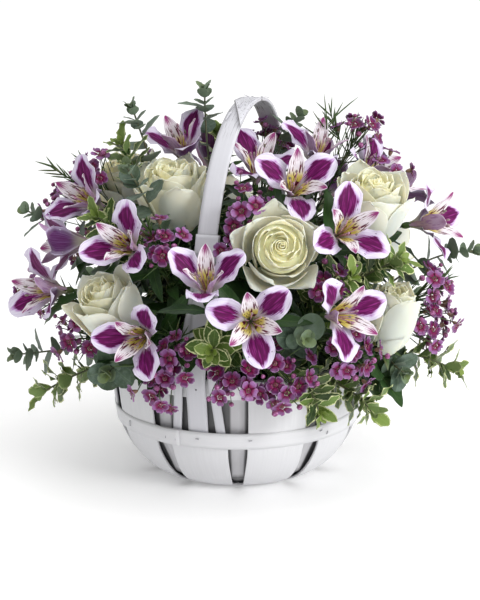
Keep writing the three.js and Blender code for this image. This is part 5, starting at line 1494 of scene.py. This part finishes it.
def add_floret(skin, joint, centre, axis, radius, seed):
    """Five spoon-shaped petals round a cup: reach = radius x along, width a rounded outline,
    height dished by along squared."""
    right = unit(np.cross(ASKEW, axis))
    up = np.cross(axis, right)
    t, v = PETAL_GRID
    shade, close = vary(seed * 3, 0, 1), vary(seed * 7, -0.8, 1.6)
    width = radius * 0.47 * np.sqrt(np.maximum(0.0, 1 - ((t - 0.6) / 0.42) ** 2)) * smooth(-0.5, 0.5, t)
    width = np.maximum(width, 0.22 * radius * (1 - t))
    reach = radius * (0.24 + 0.80 * t)
    for k in range(5):
        turn = 2 * math.pi * k / 5
        out, side = turned(right, up, turn), turned(up, right, -turn)
        lift = 0.8 + (close + vary(k + seed, -0.7, 0.9)) * t**2 + 1.3 * v * v * t + 0.5 * v
        points = centre + reach[..., None] * out + (width * v)[..., None] * side + lift[..., None] * axis
        skin.sheet(points, 0.45, WAX_PETAL, shade + vary(k, -0.15, 0.15), places=PETAL_GRID)
    s = np.linspace(0, 1, 5)
    cup = centre + axis * (-FLORET_CUP + (FLORET_CUP + 0.9) * s[:, None])
    skin.tube(cup, [0.9, 1.6, 2.0, 2.2, 1.9], WAX_CUP, 8)
    skin.tube(centre + axis * np.array([[0.6], [1.15], [1.3]]), [1.8, 1.6, 0.8], WAX_CUP, 8, age=1.0)
    skin.tube(centre + axis * np.array([[1.0], [3.4]]), [0.35, 0.2], WAX_CUP, 4, age=0.3)
    add_wire(skin, joint, centre - axis * FLORET_CUP, 0.5)


def add_wire(skin, joint, end, radius):
    """A stalk that leaves its joint and bends gently to its flower."""
    s = np.linspace(0, 1, 5)[:, None]
    sag = np.cross(end - joint, [0.3, 0.2, 1.0]) * 0.06
    line = joint * (1 - s) + end * s + sag * s * (1 - s) * 4 * 0.5
    skin.tube(line, radius, STALK_GREEN, 4, 0.6)


def add_bud(skin, joint, centre, radius, shade):
    """A bud: a tube that swells as a ball does, on a wire of its own."""
    along = unit(centre - joint)
    s = np.linspace(-1, 1, 7)
    swell = radius * np.sqrt(np.maximum(0.02, 1 - s * s)) + 0.25
    skin.tube(centre + along * (s * radius)[:, None], swell, WAX_BUD, 8, shade)
    add_wire(skin, joint, centre - along * radius * 0.9, 0.45)


def add_needle(skin, root, along, length, bend, shade):
    """A thin needle: a tube whose width swells and closes, bent a little."""
    s = np.linspace(0, 1, 5)[:, None]
    side = unit(np.cross(along, [0.2, 0.5, 0.8]))
    line = root + along * length * s + side * bend * length * s * s
    skin.tube(line, [0.45, 0.75, 0.8, 0.6, 0.12], NEEDLE, 4, shade)


# Bare shoots that reach past the flowers, from the tip of a plant's first stem (millimetres).
SHOOTS = {
    "waxflower_far_left": [(-46, -4, 24), (-22, 4, 34)],
    "waxflower_top_right": [(-16, 6, 36), (14, 0, 32)],
    "waxflower_left": [(-14, -10, 30)],
    "waxflower_rear": [(20, 20, 26), (-24, 16, 22)],
    "waxflower_right": [(26, -6, 22)],
}


def add_shoot(skin, root, reach, seed):
    """A thin bowed twig with needles set round it, longest in the middle and leaning forward."""
    reach = np.array(reach, float)
    along, length = unit(reach), np.linalg.norm(reach)
    side = unit(np.cross(along, [0.3, 0.4, 0.86]))
    other = np.cross(along, side)
    s = np.linspace(0, 1, 9)[:, None]
    line = root + reach * s + other * length * 0.07 * np.sin(math.pi * s)
    skin.tube(line, np.linspace(0.7, 0.35, 9), STALK_GREEN, 4)
    for i in range(16):
        share = 0.35 + 0.65 * i / 15
        out = turned(side, other, math.radians(GOLDEN_ANGLE * i + seed * 29))
        ahead = unit(along * (1.3 + 0.9 * share) + out)
        at = between(share, s[:, 0], line)
        add_needle(skin, at, ahead, vary(i + seed, 13, 21), vary(i, -0.1, 0.1), vary(i * 3, 0, 1))


print("bare shoots", sum(len(reaches) for reaches in SHOOTS.values()))

# %% [markdown]
# A head starts with the florets that the solid has. More florets and buds fill it wherever they
# find room, and needles stand along the stem, closest near its tip.

# %% Dressing a waxflower
MOST_FLORETS, MOST_NEEDLES = 24, 26
STRAP_BARE_FROM, STRAP_BARE_ASIDE = 200, 17
FLORET_COUNTS = []


def hides_handle(point):
    """True in front of the handle's front leg: flowers there would cross its face."""
    line = STRAP[:TOP_RING]
    at = between(point[2], line[:, 2], line)
    beside = abs(point[0] - at[0]) < STRAP_BARE_ASIDE
    return point[2] > STRAP_BARE_FROM and point[1] < at[1] and beside


def add_solid_florets(spot, solid, skin):
    """The florets that the solid has, spread as seeds in a head: reach by the root of the number,
    turn by the golden angle. Returns where they stand."""
    axis, right, up = spot["frame"]
    spread, florets, seed, placed = spot["spread"], spot["florets"], spot["seed"], []
    for i in range(florets):
        ring = spread * math.sqrt((i + 0.5) / florets)
        out = turned(right, up, math.radians(GOLDEN_ANGLE * i))
        facing = unit(axis + out * 0.8 * ring / spread)
        drop = 0.3 * ring * ring / spread - vary(i * 2 + seed, -5, 5)
        centres = [spot["at"] + out * ring + axis * (shift - drop) for shift in (0, 6, -6, 12, -12, 18)]
        which = solid.nearest([c + facing * 0.5 for c in centres])
        if which is not None:
            joint = spot["stalk"].at(0.995 - 0.2 * i / florets)[0]
            radius = FLORET_RADIUS * vary(i + seed, 1.0, 1.22)
            add_floret(skin, joint, centres[which], facing, radius, seed + i * 2.3)
            placed.append(centres[which])
    return placed


def fill_head(spot, skin, placed):
    """More florets, or buds where there is less room, between those that stand already."""
    axis, right, up = spot["frame"]
    name, seed = spot["name"], spot["seed"]
    for i in range(MOST_FLORETS):
        share = vary(i * 7 + seed, 0.15, 1.45)
        out = turned(right, up, math.radians(GOLDEN_ANGLE * i + 40 + seed * 31))
        centre = spot["at"] + out * max(spot["spread"], 17) * share + axis * vary(i * 3 + seed, -16, 7)
        if hides_handle(centre):
            continue
        joint = spot["stalk"].at(0.98 - 0.02 * i)[0]
        near = min([np.linalg.norm(centre - c) for c in placed] or [99])
        if i % 4 != 3 and near > 11.5 and has_room([centre], name, 5.5):
            radius = FLORET_RADIUS * vary(i + seed, 0.95, 1.2)
            add_floret(skin, joint, centre, unit(axis + out * 0.9 * share), radius, seed + i * 1.7)
            placed.append(centre)
        elif near > 8 and has_room([centre], name, 3.2):
            add_bud(skin, joint, centre, vary(i + seed, 1.7, 2.8), vary(i, 0, 1))
            placed.append(centre)


def dress_waxflower(spot, solid, skin):
    """Florets, buds, the solid's long needles and many short ones, shoots and the stem."""
    name, stalk, needles, seed = spot["name"], spot["stalk"], spot["needles"], spot["seed"]
    axis, right, up = spot["frame"] = face_frame(spot["face"], seed * 40)
    placed = add_solid_florets(spot, solid, skin)
    if spot["florets"]:
        fill_head(spot, skin, placed)
    FLORET_COUNTS.append(len(placed))
    for i in range(needles):
        out = turned(right, up, math.radians(360 / needles * i + 20 * seed))
        along = unit(axis * vary(i + seed, 0.3, 1.4) + out)
        root = stalk.at(0.96 - 0.05 * i)[0]
        which = solid.nearest([root + along * 30 * s for s in (1, 0.7)], 1.2)
        if which is not None:
            add_needle(skin, root, along, (30, 21)[which], 0.05, 0.5)
    for i in range(MOST_NEEDLES):
        share = 1.0 - 0.026 * i
        root, tangent = stalk.at(share)
        out = turned(*round_stem(root, tangent, NUDGE), math.radians(90 * i + 25 * (i % 3) + seed))
        along = unit(tangent * vary(i + seed, 0.7, 1.5) + out)
        length = vary(i * 3 + seed, 15, 27) + max(0, 12 - 1.6 * i)
        if has_room([root + along * length, root + along * length * 0.6], name, 1.5):
            add_needle(skin, root + stalk.drift(share), along, length, vary(i, -0.12, 0.12), vary(i, 0, 1))
    if spot["first"]:
        for i, reach in enumerate(SHOOTS.get(name, [])):
            add_shoot(skin, stalk.at(0.97 - 0.05 * i)[0], reach, seed + i)
    skin.tube(stalk.curve, taper(1.7, 0.9), STALK_GREEN, shade=0.4)


print("florets and needles tried at each head", MOST_FLORETS, MOST_NEEDLES)

# %% [markdown]
# ## Leafy sprays
# Leaves sit on the twig from the tip down, larger and further apart as they go. Eucalyptus has
# them in opposite pairs, each pair turned a quarter; pittosporum has them one by one in a spiral.

# %% Eucalyptus and pittosporum
HABIT = {
    "eucalyptus": dict(kind="coin leaf", leaf=COIN_LEAF, each=2, turn=90, angle=62, first=0.36,
                       grows=0.0075, step=0.62, bend=12, bud=0.24, extra=18, wave=0.05),
    "pittosporum": dict(kind="wavy leaf", leaf=WAVY_LEAF, each=1, turn=GOLDEN_ANGLE, angle=48, first=0.62,
                        grows=0.006, step=0.24, bend=25, bud=0.36, extra=30, wave=0.24),
}
SMALL_GRID = spread_grid(9, 9)


def dress_twig(spot, solid, skin):
    """Leaves of the solid node by node, four buds at the tip, more leaves where they have room."""
    habit, stalk, seed = HABIT[spot["kind"]], spot["stalk"], spot["seed"]
    kind, leaf, wave = habit["kind"], habit["leaf"], habit["wave"]
    leaf_length = BLADES[kind]["length"]
    down = 1.0
    for n in range(spot["nodes"]):
        if down >= stalk.length * 0.8:
            break
        share = 1 - down / stalk.length
        root, tangent = stalk.at(share)
        round_it = round_stem(root, tangent)
        size = min(1.15, habit["first"] + habit["grows"] * down) * vary(n + seed, 0.92, 1.1)
        young = max(0.0, 1 - n / 3)
        for k in range(habit["each"]):
            out = turned(*round_it, math.radians(habit["turn"] * n + 360 / habit["each"] * k + 35 * seed))
            opening = habit["angle"] * min(1, 0.45 + down / 40) + vary(n * 2 + k + seed, -8, 8)
            along, up = leant(tangent, out, math.radians(opening))
            got = read_blade(solid, kind, root, along, up, math.radians(habit["bend"]), size)
            if got:
                add_blade(skin, stalk, share, kind, root, along, up, got[0], got[1] * (1 + 0.22 * young),
                          leaf, SMALL_GRID, shade=vary(n * 3 + k + seed, 0, 1), age=young * 0.6,
                          ruffle=wave, phase=seed + n)
        down += leaf_length * size * habit["step"]
    tip, tangent = stalk.at(1.0)
    for i in range(4):
        out = turned(*round_stem(tip, tangent), math.radians(habit["turn"] * i + 45 + 35 * seed))
        along, up = leant(tangent, out, math.radians(18 + 8 * i))
        add_blade(skin, stalk, 1.0, kind, tip - tangent, along, up, math.radians(15),
                  habit["bud"] + 0.035 * i, leaf, SMALL_GRID, 0.35, shade=vary(i + seed, 0, 1), age=1.0,
                  ruffle=wave)
    shares = np.linspace(1 - (down - 0.5 * leaf_length) / stalk.length, 0.12, habit["extra"])
    extra_leaves(spot, skin, kind, shares, leaf, 0.95, bend=habit["bend"], room=1.2,
                 grid=SMALL_GRID, angle=habit["angle"], ruffle=wave)
    if spot["kind"] == "pittosporum":
        extra_leaves(spot, skin, kind, np.linspace(0.97, 0.35, 16), leaf, 0.68, 3, bend=32,
                     room=1.0, grid=SMALL_GRID, angle=58, ruffle=0.2)
    skin.tube(stalk.curve, taper(1.5, 0.8), STALK_GREY, shade=0.4)


print("leafy kinds:", ", ".join(HABIT))

# %% [markdown]
# Each plant becomes one piece that stands for its own solid. The number that makes its small
# differences is its place in the plan, so that no two plants are alike and every run is the same.

# %% Dressing every plant
FINISHES = {
    "rose": [ROSE_PETAL, STALK_GREEN, BROAD_LEAF],
    "alstroemeria": [OUTER_TEPAL, INNER_TEPAL, THREAD, STALK_GREEN, BROAD_LEAF],
    "waxflower": [WAX_PETAL, WAX_CUP, WAX_BUD, STALK_GREEN, NEEDLE],
    "eucalyptus": [COIN_LEAF, STALK_GREY],
    "pittosporum": [WAVY_LEAF, STALK_GREY],
}
DRESS = {"rose": dress_rose, "alstroemeria": dress_alstroemeria, "waxflower": dress_waxflower}
DRESS |= {"eucalyptus": dress_twig, "pittosporum": dress_twig}
plant_faces = 0
for index, (name, kind, spots) in enumerate(PLAN):
    solid, skin = Solid(name), Skin()
    for spot in grow_stalks(index, name, kind, spots, solid):
        DRESS[kind](spot, solid, skin)
    plant = skin.piece(name + "_plant", [name], kind, FINISHES[kind])
    plant_faces += len(plant.data.polygons)
print("plant faces", plant_faces, "waxflower florets and buds", sum(FLORET_COUNTS))

# %% [markdown]
# ## The studio
# A photographer would stand a metre and a half away with a longer lens and use big soft lights, so
# that the basket keeps its round shape and the white paint never burns out.

# %% Floor, light and camera
FLOOR_HALF, UNDER_BASE = 6.0, -0.0002
EYE, LOOKED_AT = (0.002, -1.5, 0.53), (0.002, 0, 0.160)


def aimed(place, target):
    """The turn that points a lamp or camera, which look along -Z, from its place at a target."""
    return (Vector(target) - Vector(place)).to_track_quat("-Z", "Y").to_euler()


def floor():
    """A wide pale sweep, a hair below the basket's base."""
    corners = [(-FLOOR_HALF, -FLOOR_HALF), (FLOOR_HALF, -FLOOR_HALF)]
    corners += [(FLOOR_HALF, FLOOR_HALF), (-FLOOR_HALF, FLOOR_HALF)]
    mesh = bpy.data.meshes.new("floor")
    mesh.from_pydata([(*corner, UNDER_BASE) for corner in corners], [], [(0, 1, 2, 3)])
    p = Paint("studio_floor", 0.7)
    p.shader.inputs["Emission Color"].default_value = (1, 1, 1, 1)
    p.shader.inputs["Emission Strength"].default_value = 0.14
    mesh.materials.append(p.finish((0.93, 0.93, 0.93)))
    linked("floor", mesh)


def lamp(name, place, target, size, power):
    """A round soft light, aimed at a target."""
    light = bpy.data.lights.new(name, "AREA")
    light.shape, light.size, light.energy = "DISK", size, power
    thing = linked(name, light)
    thing.location, thing.rotation_euler = place, aimed(place, target)


def sky_light():
    """Light from straight above, the same at every place: the floor stays evenly white."""
    light = bpy.data.lights.new("overhead", "SUN")
    light.energy, light.angle = 1.62, math.radians(75)
    linked("overhead", light).rotation_euler = (math.radians(8), math.radians(6), 0)


def surround():
    """White where the camera sees it, and a little less bright as a light."""
    world = bpy.data.worlds.new("studio")
    world.use_nodes = True
    nodes, links = world.node_tree.nodes, world.node_tree.links
    path, mix = nodes.new("ShaderNodeLightPath"), nodes.new("ShaderNodeMapRange")
    mix.inputs["To Min"].default_value, mix.inputs["To Max"].default_value = 0.56, 1.05
    links.new(path.outputs["Is Camera Ray"], mix.inputs["Value"])
    links.new(mix.outputs["Result"], nodes["Background"].inputs["Strength"])
    nodes["Background"].inputs["Color"].default_value = (1, 1, 1, 1)
    bpy.context.scene.world = world


floor()
lamp("key", (1.5, -1.15, 0.85), (0, 0, 0.15), 0.8, 24)
sky_light()
surround()
bpy.context.scene.view_settings.view_transform = "Standard"

camera = bpy.data.cameras.new("camera")
camera.lens, camera.sensor_width, camera.sensor_fit = 97.6, 36, "AUTO"
eye = linked("camera", camera)
eye.location, eye.rotation_euler = EYE, aimed(EYE, LOOKED_AT)
bpy.context.scene.camera = eye
print("camera", EYE, "looks at", LOOKED_AT)
